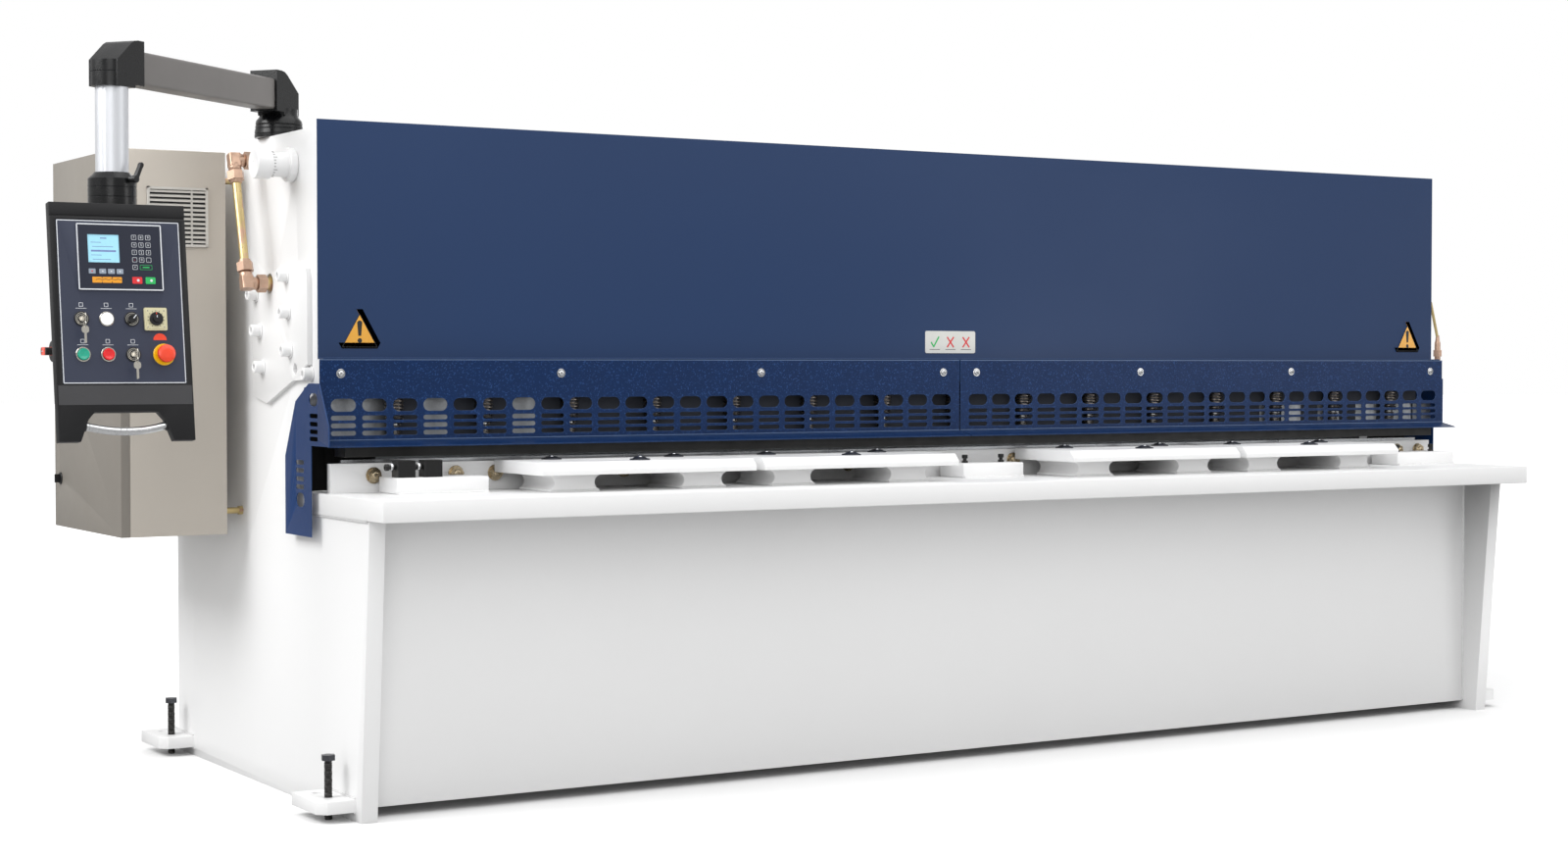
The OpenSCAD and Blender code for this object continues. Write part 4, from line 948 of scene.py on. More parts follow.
def build_side_fittings():
    """Brackets, cap screws, gap knob, pivot pins and levelling screws."""
    softened("roller_brackets", "side_brackets", "enamel", 2.2)
    pins = Shape()
    for side, way in ((-1, "x"), (1, "-x")):
        pins.lathe([(0, 0), (66, 0), (67, 1), (67, 12), (44.2, 12.1), (44.2, 120), (42.6, 122),
            (0, 122)], "bright", at(side * (OUTER_X + 12), CUT_Y + 885, TABLE_Z + 125, way), 64)
    pins.piece("pivot_pin_flanges", "pivot_pins", 30)
    bolts = Shape()
    for side, way in ((-1, "-x"), (1, "x")):
        unit = Shape().lathe([(0, 0), (18.2, 0), (19, 0.8), (19, 2.4), (18.2, 3), (14.6, 3),
            (15, 3.6), (15, 22.2), (13.4, 24), (9, 24), (8, 23), (8, 14.5), (0, 14)], "enamel",
            at(along=way), 32)
        places = [(side * (OUTER_X + 12), CUT_Y + y, TABLE_Z + z) for y, z in BRACKET_BOLTS]
        places.append((side * OUTER_X, CUT_Y + 34, TABLE_Z + 280))
        copies(bolts, unit, "enamel", places, (TURN, 0, 0))
    bolts.piece("side_cap_screws", "side_bolts", 30)

    knob = Shape()
    axis = at(-OUTER_X, CUT_Y + 152, 1524, "-x")
    knob.lathe([(0, -3620), (19.4, -3620), (20, -3619), (20, 0.3), (40, 0.3), (41, 1.3), (41, 16.6),
        (39.6, 18), (30.4, 18), (30, 18.6), (30, 59), (34.6, 59.6), (36, 61), (36, 96.4),
        (34.4, 98), (6, 98), (4.6, 96.8), (0, 96.8)], "enamel", axis, 48)
    for i in range(24):
        long = 9 if i % 4 == 0 else 5
        knob.block((29.9, -0.5, 57 - long), (30.5, 0.5, 57), "ink", axis @ turned(15 * i, "Z"))
    knob.piece("gap_setting_knob", "gap_shaft", 30)

    screws = Shape()
    pitch = bpy.context.scene.shear_sizes.thread_pitch / MM
    places = [(side * 1853, y, 0) for side in (-1, 1) for y in (-647, 501)]
    screw = Shape().lathe([(0, 0), (7, 0), (8.4, 1.5), (8.4, 137), (0, 137)], "black_oxide",
        steps=24)
    copies(screws, screw, "black_oxide", places)
    head = Shape().slab(ngon(17), 137, 150, "turned", Matrix(), 1.6)
    copies(screws, head, "turned", places, (0, 0, TURN))
    thread = grown("coil", "black_oxide", {"Coil Radius": 8.4, "Wire Radius": pitch * 0.46,
        "Height": 130.0, "Turns": 130 / pitch, "Sides": 3}, [(x, y, 3) for x, y, _ in places])
    screws.take(thread, "black_oxide")
    screws.piece("levelling_bolts", "levelling_screws", 30)


def build_pipework():
    """Pipes outside the side plates with forged elbows and union nuts."""
    pipes = Shape()
    for side in (-1, 1):
        x = side * 1881
        low, high = Vector((x, -194, 1243)), Vector((x, -107, 1548))
        way = (high - low).normalized()
        span = (high - low).length
        pipes.tube([low.lerp(high, t / 12) for t in range(13)], 11, "yellow_zinc", 24)
        for point, lead in ((low, way), (high, -way)):
            inward = at(point.x, point.y, point.z, "x" if side < 0 else "-x")
            up = Matrix.Translation(point) @ lead.to_track_quat("Z", "Y").to_matrix().to_4x4()
            pipes.slab(round_box(-15, -15, 15, 15, 6), -15, 17, "copper", up, 3.5, 3)
            pipes.lathe([(0, 10), (15, 10), (16, 13), (16, 24), (15, 26), (13, 30), (0, 30)],
                "copper", up, 24)
            pipes.slab(ngon(21), 30, 52, "copper", up, 1.6)
            pipes.lathe([(0, 51), (17, 51), (14, 60), (11.4, 61), (0, 61)], "copper", up, 28)
            pipes.lathe([(0, 8), (15, 8), (16, 13), (16, 22), (15, 24), (13, 27), (0, 27)],
                "copper", inward, 24)
            pipes.slab(ngon(22), 26, 48, "copper", inward, 1.6)
            pipes.lathe([(0, 48), (15, 48), (15, 57), (19, 57.6), (19, 63.4), (11, 64), (11, 109),
                (0, 109)], "yellow_zinc", inward, 28)
    low = Vector((1852, -499, 1130))
    pipes.tube([Vector((1822, -499, 1238)).lerp(low, t / 8) for t in range(9)], 4.5, "yellow_zinc",
        14)
    pipes.lathe([(0, 1040), (8, 1040), (9, 1044), (9, 1112), (7, 1118), (5, 1136), (0, 1136)],
        "copper", at(1853, -499, 0), 24)
    pipes.slab(ngon(13), 1070, 1090, "copper", at(1853, -499, 0), 1.2)
    pipes.lathe([(0, 0), (6, 0), (6, 42), (0, 42)], "copper", at(1853, -499, 1052, "-x"), 18)
    pipes.piece("hydraulic_pipes", "hydraulic_lines", 30)


# ---------------------------------------------------------------- drive and back gauge

def build_drive():
    """Swing beam, cylinders, rods, oil tank and the motor and pump."""
    beam = softened_shape("swing_beam", "enamel", 2)
    # Black strips on the swing beam's front: painted shade in the throat.
    for side in (-1, 1):
        low, high = sorted((side * 1767, side * 1640))
        beam.block((low, -416.4, 792), (high, -413.4, 862), "throat_shade_black", rounding=0.6)
    beam.piece("swing_beam_box", "swing_beam")
    # Black sheets across the throat: painted shade where the throat is dark.
    shade_sheets = Shape()
    for side in (-1, 1):
        for x0, x1, top in ((1757, 1808, 938), (1648, 1758, 806)):
            low, high = sorted((side * x0, side * x1))
            shade_sheets.block((low, -404.5, 744), (high, -401.5, top), "throat_shade_black", rounding=0.6)
    shade_sheets.rider("throat_curtains", "frame", "black_plastic")
    softened("drive_barrels", "drive_cylinders", "grey", 1.5)
    coated("drive_rods", "bright")
    softened("oil_tank_box", "oil_tank", "grey", 1.5)
    pack = Shape()
    axis = at(500, 330, 1390, "x")
    pack.lathe([(0, 0), (124, 0), (125, 1), (125, 11), (124, 12), (76, 12), (75, 13), (75, 99),
        (76, 100), (124, 100), (125, 101), (125, 113), (124, 114), (95, 114.5), (95, 419),
        (0, 420)], "grey", axis, 48)
    pack.lathe([(0, 421), (90, 421), (98, 424), (98, 446), (94, 450), (30, 450), (0, 450)], "grey",
        axis, 48)
    for i in range(32):
        pack.block((93, -1.6, 118), (105, 1.6, 414), "grey", axis
            @ turned(360 * (i + 0.5) / 32, "Z"))
    for i in range(8):
        pack.lathe([(0, 12), (9, 12), (9, 20), (0, 20)], "bright", axis @ turned(45 * i, "Z")
            @ at(108, 0, 0), 6)
    pack.block((640, 300, 1488), (760, 360, 1499), "grey", rounding=3)
    pack.block((-820, 270, 1300), (-700, 390, 1450), "grey", rounding=4)
    for side in (-1, 1):
        pack.lathe([(0, 0), (21, 0), (22, 1), (22, 58), (20, 60), (0, 60)], "bright",
            at(-760, 330 + side * 32, 1450), 28)
    pack.piece("motor_and_valves", "power_pack", 30)


def build_back_gauge():
    """Back-gauge rails, stop beam, lead screw and the chute for cut pieces."""
    softened("gauge_rails", "gauge_frame", "grey", 1.5)
    softened("gauge_stop_beam", "gauge_beam", "galvanised", 1.5)
    screw = Shape()
    start = -450
    length = 474 - start
    screw.lathe([(0, 0), (10.6, 0), (11, 0.5), (11, length), (0, length)], "bright",
        at(0, start, 765, "y"), 28)
    thread = grown("coil", "bright", {"Coil Radius": 11.0, "Wire Radius": 1.5,
        "Height": float(length - 60), "Turns": (length - 60) / 10, "Sides": 4})
    thread.transform(at(0, start + 30, 765, "y"))
    screw.take(thread, "bright")
    screw.piece("gauge_lead_screw", "gauge_screw", 40)
    softened("cut_piece_chute", "rear_chute", "galvanised", 0.8, segments=1)


# ---------------------------------------------------------------- cabinet

def build_cabinet():
    """Electrical cabinet with its door, vent, lock, main switch and stand-offs."""
    softened("cabinet_case", "cabinet_shell", "cabinet", 2.0)
    # The door takes the darker copy of the cabinet coat: painted shade.
    softened("cabinet_door_leaf", "cabinet_door", "door", 2.4)
    vent = Shape()
    x0, x1, z0, z1 = -2073, -1920, 1336, 1482
    face = at(0, -20, 0, "-y")
    vent.block((x0, z0, 0), (x1, z1, 0.8), "black_plastic", face)
    vent.block((x1 - 43, z0, 0), (x1 - 39, z1, 5.6), "vent", face)
    for low, high in (((x0, z0), (x0 + 6, z1)), ((x1 - 6, z0), (x1, z1)), ((x0, z0), (x1, z0 + 6)),
            ((x0, z1 - 6), (x1, z1))):
        vent.block((*low, 0), (*high, 6), "vent", face, 0.8)
    louvres = bpy.context.scene.shear_sizes.louvres
    step = (z1 - z0 - 12) / louvres
    slat = Shape().slab([(-1, -0.8), (-5.6, -step * 0.34), (-5.6, -step * 0.66),
        (-4.4, -step * 0.66), (-4.4, -step * 0.4), (-1, -step * 0.2)], x0 + 5, x1 - 5, "vent", SIDE)
    copies(vent, slat, "vent", [(0, -20, z1 - 6 - step * i) for i in range(louvres)])
    vent.piece("cabinet_vent", "cabinet_trim", 30)

    lock = Shape()
    axis = at(-2141, 513, 747, "-x")
    lock.lathe([(0, -12), (11, -12), (11, 0), (16, 0), (16, 1.6), (14.6, 3), (8.6, 3), (8, 2.2),
        (0, 2.2)], "black_plastic", axis, 32)
    lock.block((-11, -3, 2.2), (11, 3, 16), "black_plastic", axis, 1.2)
    lock.block((-9, -9, -15), (9, 36, -12), "bright", axis, 0.5)
    lock.piece("cam_lock", "door_lock", 30)

    switch = Shape()
    axis = at(-2141, 513, 1080, "-x")
    switch.lathe([(0, -6), (8, -6), (8, 0.3), (27, 0.3), (28, 1.2), (28, 20), (26, 22), (0, 22.6)],
        "black_plastic", axis, 40)
    switch.slab(round_box(-10, -26, 10, 26, 6), 20, 43, "black_plastic", axis, 2.0)
    switch.slab(round_box(-10.6, -15, 10.6, 15, 3), 23, 43.8, "stop_red", axis, 1.2)
    switch.block((-1, 2, 43.7), (1, 13, 44), "white_ink", axis)
    switch.piece("main_switch_knob", "switch_knob", 30)
    rods = Shape()
    for z in (676, 1507):
        for y in (49, 497):
            axis = at(-1873, y, z, "x")
            rods.lathe([(0, 0), (8, 0), (8, 62), (0, 62)], "yellow_zinc", axis, 24)
            rods.slab(ngon(12), 0.1, 10, "yellow_zinc", axis, 1.0)
            rods.slab(ngon(12, turn=0.4), 52, 61.9, "yellow_zinc", axis, 1.0)
    rods.piece("cabinet_stand_offs", "standoffs", 30)


# ---------------------------------------------------------------- arm and pendant

ARM = at(-1771, -124) @ turned(218.6, "Z")
ARM_Z = 1708
ARM_REACH = 700
COLUMN = ARM @ Vector((ARM_REACH, 0, 0))


def ringed(r, low, high, count, top=None):
    """A turned sleeve with grooves round it."""
    profile = [(0, low), (r - 1.5, low), (r, low + 1.5)]
    for i in range(1, count + 1):
        z = low + (high - low) * i / (count + 1)
        profile += [(r, z - 1.2), (r - 1.6, z - 0.5), (r - 1.6, z + 0.5), (r, z + 1.2)]
    profile += [(r, high - 2), (r - 2, high)]
    return profile + (top or []) + [(0, (top or [(0, high)])[-1][1])]


def cut_away(block, cutter):
    """Takes one shape out of another and gives the plain mesh."""
    whole, tool = linked("whole", block.plain()), linked("tool", cutter.plain())
    taken = whole.modifiers.new("cut", "BOOLEAN")
    taken.operation = "DIFFERENCE"
    taken.solver = "EXACT"
    taken.use_self = True
    taken.object = tool
    mesh = evaluated(whole)
    bpy.data.objects.remove(tool)
    return mesh


def build_arm():
    """Swivel base, arm with its two knuckles, and the column."""
    base = Shape()
    base.lathe([(0, 1605), (60, 1605), (60, 1613), (58.6, 1614), (58.6, 1615), (60, 1616),
        (58.6, 1626), (57.2, 1627), (57.2, 1628), (58.4, 1629), (57.4, 1635.6), (56.4, 1636.6),
        (0, 1636.6)], "cast_black", ARM, 48)
    base.piece("arm_swivel_base", "arm_base", 30)

    arm = Shape()
    arm.lathe([(0, 1637.4), (56.6, 1637.4), (57.6, 1639), (56, 1647), (50, 1654), (46, 1662),
        (46, 1676), (0, 1676)], "cast_black", ARM, 48)
    front = ARM @ at(ARM_REACH)
    arm.lathe([(0, 1676), (35, 1676), (36, 1677), (36, ARM_Z), (0, ARM_Z)], "cast_black", ARM, 48)
    # Each hood is a wedge with flat sides: the round bands show only on its nose.
    hood = [(-71, -42), (-71, 58), (-48, 58), (-34, 56), (-22, 50), (31, 9), (31, -49), (-36, -49),
        (-38, -42)]
    nose = [(18, 37)] + [(46 * math.cos(a), 46 * math.sin(a)) for a in [math.radians(53.4 - 8.9 * k)
        for k in range(13)]] + [(18, -37)]
    for place, degrees in ((front, 0), (ARM, 180)):
        place = place @ at(0, 0, ARM_Z) @ turned(degrees, "Z")
        arm.slab(hood[::-1], -37.4, 37.4, "cast_black", place @ turned(90, "X"), 5, 4)
        for low, high in ((-49, -16.8), (-15.4, 9)):
            arm.slab(nose[::-1], low, high, "cast_black", place, 1.6, 2)
    arm.slab(round_box(-31, -37, 31, 37, 7), 62, 638, "arm_grey", ARM @ at(0, 0, ARM_Z)
        @ turned(90, "Z") @ turned(90, "X"))
    arm.piece("swivel_arm", "arm", 30)

    column = Shape()
    # A shallow groove runs down the tube.
    outline = [(x * 0.975, y * 0.975) if i in (59, 60) else (x, y)
        for i, (x, y) in enumerate(ngon(36, 96))]
    column.slab(outline, 1440, 1659, "aluminium", at(COLUMN.x, COLUMN.y))
    column.piece("arm_column", "column", 25)


FACE = at(COLUMN.x - 8, COLUMN.y - 61, 1400) @ turned(-8, "X")


def on_face(u, w, out=0.0):
    """A place on the pendant's face: u across, w down from the top edge, Z out of the face."""
    return FACE @ at(u, -out, -w) @ turned(90, "X")


# Half the length of the grab bar.
BAR_END = 92


def build_pendant_housing():
    """Pendant housing with its rubbed band, top groove, bell, clamp lever and handle."""
    side = FACE @ SIDE
    body = Shape()
    body.slab([(0, -2), (0, -526), (24, -526), (24, -2)], -150, 150, "housing", side, 4, 3)
    body.slab([(18, -14), (18, -440), (44, -440), (62, -400), (118, -300), (118, -30), (104, -14)],
        -112, 112, "housing", side, 6, 3)
    cutter = Shape()
    cutter.slab([(-108, -540), (108, -540), (84, -478), (70, -462), (-70, -462), (-84, -478)], -40,
        160, "housing", on_face(0, 0, -120), 0)
    cutter.slab([(-136.4, -400.4), (136.4, -400.4), (136.4, -39.6), (-136.4, -39.6)], -3.1, 30,
        "housing", on_face(0, 0))
    cutter.slab([(-106, -378), (106, -378), (106, -60), (-106, -60)], -40, -2, "housing",
        on_face(0, 0))
    cutter.slab([(-152, -34), (152, -34), (152, -29.5), (-152, -29.5)], -2.2, 20, "housing",
        on_face(0, 0))
    housing = Shape().take(cut_away(body, cutter), "housing")
    housing.soften(0.8, 1.2)
    housing.slab([(-147, -446), (147, -446), (147, -404), (-147, -404)], 0, 0.5, "housing_band",
        on_face(0, 0), 0.3, 1)
    bell = at(COLUMN.x, COLUMN.y)
    housing.lathe(ringed(53, 1394, 1458, 2, [(44, 1464), (39, 1470), (36.4, 1470)])[:-1]
        + [(36.4, 1441), (0, 1440)], "cast_black", bell, 56)
    housing.piece("pendant_housing", "panel_housing", 30)

    def bowed(u, y=0.0, z=0.0):
        """A place on the grab bar, which hangs 14 mm lower and 8 mm further out at its middle."""
        sag = 1 - (u / BAR_END) ** 2
        return on_face(u, 490 + 14 * sag, -14 + 8 * sag) @ Vector((0, y, z))

    handle = Shape().tube([bowed(BAR_END * (i / 30 - 1)) for i in range(61)], 9, "bright", 18)
    for u in (-BAR_END, BAR_END):
        handle.lathe([(0, -4), (12, -4), (12.6, -3), (12.6, 3), (12, 4), (0, 4)], "black_plastic",
            on_face(u, 490, -14) @ turned(90, "Y"), 28)
    rib = grown("coil", "bright", {"Coil Radius": 9.0, "Wire Radius": 0.7, "Height": 170.0,
        "Turns": 26.0, "Sides": 4})
    rib.transform(at(-85) @ turned(90, "Y"))
    for vertex in rib.vertices:
        vertex.co = bowed(*vertex.co)
    handle.take(rib, "bright")
    handle.piece("pendant_grab_bar", "panel_handle", 40)

    lever = Shape()
    place = (at(COLUMN.x, COLUMN.y, 1454) @ turned(30, "Z") @ turned(90, "X"))
    lever.lathe([(0, 53.3), (7, 53.3), (7, 62), (8.5, 63), (8.5, 72), (7, 73), (0, 73)],
        "black_plastic", place, 24)
    tilted = place @ turned(-28, "Z")
    lever.slab([(-5, 0), (5, 0), (4.4, 30), (5.4, 36), (3, 41), (-3, 41), (-5.4, 36), (-4.4, 30)],
        64, 72.4, "black_plastic", tilted, 2.2)
    lever.piece("column_clamp_lever", "clamp_lever", 30)


def label(shape, text, size, low, high, look, place):
    """Small raised figures on a face."""
    curve = bpy.data.curves.new("label", "FONT")
    curve.body = text
    curve.size = size
    curve.align_x = "CENTER"
    curve.align_y = "CENTER"
    curve.resolution_u = 2
    curve.extrude = (high - low) / 2
    mesh = evaluated(linked("label", curve))
    bpy.data.curves.remove(curve)
    mesh.transform(place @ at(0, 0, (low + high) / 2))
    shape.take(mesh, look)


def build_pendant_face():
    """Face plate, controller with its screen and keys, and printed lines."""
    softened("face_plate", "panel_face", "film", 0.4, segments=1)
    face = on_face(0, 0)
    prints = Shape()
    frame_line(prints, -134.2, -398.4, 134.2, -41.8, 1.9, 0, 0.3, "white_ink", face)
    for low, high in (((-94, -72), (94, -48)), ((-94, -195), (94, -134)), ((-94, -134), (-70, -72)),
            ((6, -134), (94, -72))):
        prints.block((*low, 4.0), (*high, 4.25), "controller", face)
    frame_line(prints, -92.4, -193.4, 92.4, -49.6, 2.6, 4.25, 4.5, "white_ink", face)
    prints.slab(round_box(-70.5, -134.5, -1, -71.5, 2), 2.0, 2.3, "screen", face)
    prints.block((-1, -134.5, 2), (6.5, -71.5, 4), "controller", face)
    for i, (u0, u1, tall) in enumerate(((-42, -28, 2.4), (-63, -40, 1.2), (-60, -14, 1.2),
            (-63, -8, 4.0), (-63, -40, 1.2), (-60, -20, 1.2))):
        w = 80 + 9.4 * i
        prints.block((u0, -w - tall / 2, 2.3), (u1, -w + tall / 2, 2.42), "screen_ink", face)
    for row in range(5):
        for column in range(3 if row < 4 else 1):
            u, w = 32 + 15.6 * column, 77 + 16.6 * row
            prints.slab(round_box(u - 5.4, -w - 5.4, u + 5.4, -w + 5.4, 1.6, 3), 4.25, 4.4,
                "white_ink", face)
            prints.slab(round_box(u - 4.6, -w - 4.6, u + 4.6, -w + 4.6, 1.3, 3), 4.4, 4.6,
                "controller", face)
            text = ("789", "456", "123", "-0.", "+")[row][column]
            label(prints, text, 7.5, 4.6, 4.8, "key_red" if text == "-" else "white_ink",
                on_face(u, w))
    w = 77 + 16.6 * 4
    prints.slab(round_box(43, -w - 5.4, 70, -w + 5.4, 1.6, 3), 4.25, 4.4, "key_green", face)
    prints.slab(round_box(43.8, -w - 4.6, 69.2, -w + 4.6, 1.3, 3), 4.4, 4.6, "controller", face)
    stroke(prints, ((49, -w), (64, -w)), 2.6, 4.6, 4.8, "key_green", face)
    for u in (-63, -40, -21, -2):
        prints.slab(round_box(u - 7.4, -159, u + 7.4, -148, 1.4, 3), 4.25, 4.7, "key_grey", face)
        prints.slab(ngon(1.7, 10), 4.7, 4.85, "key_red" if u == -63 else "white_ink",
            on_face(u, 153.5))
    for u in (-53, -31, -9):
        prints.slab(round_box(u - 10.4, -179, u + 10.4, -166, 1.4, 3), 4.25, 4.7, "key_orange",
            face)
    stroke(prints, ((-53, -172.5), (-9, -172.5)), 6, 4.25, 4.65, "key_orange", face)
    for k in range(8):
        ends = ((-56 + 7 * k, -172.5 + 2 * (k % 2)), (-49 + 7 * k, -172.5 + 2 * ((k + 1) % 2)))
        stroke(prints, ends, 1.0, 4.7, 4.85, "ink", face)
    for u, look in ((35.5, "key_red"), (65, "key_green")):
        prints.slab(round_box(u - 11, -180, u + 11, -165, 2, 3), 4.25, 4.7, look, face)
        prints.slab(ngon(3, 14), 4.7, 4.85, "white_ink", on_face(u + 2, 172.5))
    for u, w in ((-90, 227), (-35, 227), (20, 227), (-90, 307), (-35, 307), (20, 307)):
        frame_line(prints, u - 4, -w - 4, u + 4, -w + 4, 0.9, 0, 0.25, "white_ink", face)
        stroke(prints, ((u - 12, -w - 8), (u + 12, -w - 8)), 0.9, 0, 0.25, "white_ink", face)
    half = [(15 * math.cos(math.pi * i / 16), 15 * math.sin(math.pi * i / 16)) for i in range(17)]
    prints.slab(half, 0, 0.3, "stop_red", on_face(81, 304))
    prints.rider("face_prints_and_keys", "pendant", "panel_grey", 30)


# Places of the controls on the face: across from its middle, and down from its top edge.
UPPER_KEY, LAMP, SELECTOR, TIMER = (-90, 258), (-35, 258), (20, 258), (72, 258)
GREEN, RED, LOWER_KEY, STOP = (-90, 336), (-35, 336), (20, 336), (88, 336)
# Hole in a bezel that takes a key or the selector, and in one that takes a button or the lamp.
SMALL_HOLE, LARGE_HOLE = 9.8, 13.2


def build_controls():
    """Bezels, lamp, push buttons, stop button, selector, key switches and timer."""
    fittings = Shape()
    for place, inner, look in ((UPPER_KEY, SMALL_HOLE, "black_plastic"),
            (SELECTOR, SMALL_HOLE, "black_plastic"), (GREEN, LARGE_HOLE, "chrome"),
            (RED, LARGE_HOLE, "chrome"), (LOWER_KEY, SMALL_HOLE, "black_plastic"),
            (LAMP, LARGE_HOLE, "chrome")):
        fittings.lathe([(inner, 0), (15.8, 0), (16.2, 0.5), (16.2, 2.4), (15.4, 3.1),
            (inner + 0.6, 3.1), (inner, 2.5), (inner, 0.01)], look, on_face(*place), 40)
        if inner == SMALL_HOLE:
            fittings.lathe([(12.4, 3), (13.6, 3), (13.6, 3.5), (12.4, 3.5), (12.4, 3.01)], "chrome",
                on_face(*place), 40)
    fittings.lathe([(0, -20), (9.5, -20), (9.5, 0), (13, 1), (13, 4.4), (11.6, 6), (7, 7),
        (0, 7.4)], "lens_white", on_face(*LAMP), 36)
    fittings.lathe([(10.8, 0), (24, 0), (24, 1.6), (22.6, 3), (12, 3), (10.8, 2.4), (10.8, 0.01)],
        "collar_yellow", on_face(*STOP), 44)
    timer = on_face(*TIMER)
    fittings.slab(round_box(-25, -25, 25, 25, 3), 0, 6.4, "timer_cream", timer, 0.8)
    fittings.slab(round_box(-21.5, -21.5, 21.5, 21.5, 3), 6.4, 7.4, "timer_cream", timer, 0.5)
    for i in range(13):
        turn = timer @ turned(-150 + 25 * i, "Z")
        fittings.block((-0.5, 16.2, 7.4), (0.5, 19.4, 7.6), "ink", turn)
    for x, y in ((-18, 18), (18, 18), (-18, -18), (18, -18)):
        fittings.lathe([(0, 7.4), (1.5, 7.4), (1.5, 7.8), (0, 7.8)], "chrome", timer @ at(x, y, 0),
            12)
    fittings.piece("bezels_lamp_and_timer", "panel_fittings", 30)

    for name, node, place, look in (("green_push_button", "green_button", GREEN, "lens_green"),
            ("red_push_button", "red_button", RED, "lens_red")):
        button = Shape().lathe([(0, -22), (9.3, -22), (9.3, 3.6), (12.8, 3.6), (12.8, 6.4),
            (12, 7.4), (10.4, 7.6), (9, 7.1), (0, 6.9)], look, on_face(*place), 36)
        button.piece(name, node, 40)
    stop = Shape().lathe([(0, -20), (10, -20), (10, 13), (16.8, 13), (19.6, 16), (20, 20.4),
        (19, 23.6), (15, 25.6), (8, 26), (0, 26)], "stop_red", on_face(*STOP), 44)
    stop.piece("stop_push_button", "estop_button", 30)
    knob = Shape().lathe([(0, -20), (9.3, -20), (9.3, 6), (8.6, 7), (0, 7)], "black_plastic",
        on_face(*SELECTOR), 36)
    set_at = on_face(*SELECTOR) @ turned(-40, "Z")
    knob.slab(round_box(-4, -11.6, 4, 11.6, 3), 6.5, 15, "black_plastic", set_at, 1.0)
    stroke(knob, ((0, 0), (0, 10.4)), 2.2, 14.9, 15.2, "white_ink", set_at)
    knob.piece("selector_handle", "selector_knob", 30)
    for name, node, place in (("upper_key_switch", "key_upper", UPPER_KEY),
            ("lower_key_switch", "key_lower", LOWER_KEY)):
        key = Shape().lathe([(0, -20), (9.3, -20), (9.3, 3.4), (8.6, 4.2), (0, 4.2)],
            "black_plastic", on_face(*place), 36)
        key.lathe([(0, 4), (6.4, 4), (6.4, 5.2), (0, 5.2)], "chrome", on_face(*place), 30)
        blade = on_face(*place) @ turned(90, "Y") @ at(0, 0, -1)
        key.slab([(-18, -3.6), (-4.2, -3.6), (-4.2, 3.6), (-18, 3.6)], 0, 2, "chrome", blade, 0.3,
            1)
        key.slab([(x - 24, y) for x, y in round_box(-9, -10.5, 9, 10.5, 7)], 0, 2, "chrome", blade,
            0.5, 1)
        hanging = on_face(*place, 25)
        key.tube([hanging @ Vector((0, -8 - 7 + 7 * math.cos(a), 7 * math.sin(a)))
            for a in [TURN * k / 20 for k in range(20)]], 0.7, "chrome", 6)
        key.slab([(x, y - 27) for x, y in round_box(-8, -8, 8, 8, 6)], -1, 1, "chrome", hanging,
            0.4, 1)
        key.slab([(-2.6, -58), (2.6, -56), (2.6, -34), (-2.6, -34)], -0.9, 0.9, "chrome", hanging,
            0.3, 1)
        key.piece(name, node, 30)
    dial = Shape().lathe([(0, -10), (5.8, -10), (5.8, 8.3), (14.4, 8.3), (15, 9), (15, 11.6),
        (14.2, 12.4), (8.6, 12.6), (8, 16), (7.4, 16.4), (0, 16.4)], "black_plastic",
        on_face(*TIMER), 36)
    stroke(dial, ((0, 2), (0, 7)), 1.6, 16.3, 16.6, "white_ink", on_face(*TIMER))
    stroke(dial, ((0, 9.5), (0, 14)), 1.4, 12.3, 12.7, "stop_red", on_face(*TIMER))
    dial.piece("timer_knob", "timer_dial", 30)


# ---------------------------------------------------------------- stage

def by_ray(tree, output, others, seen):
    """Ends a tree in one shader for the camera's rays and another for all other rays."""
    path = add(tree, "ShaderNodeLightPath")
    either = add(tree, "ShaderNodeMixShader", {0: path.outputs["Is Camera Ray"],
        1: others.outputs[0], 2: seen.outputs[0]})
    add(tree, output, {"Surface": either.outputs[0]})


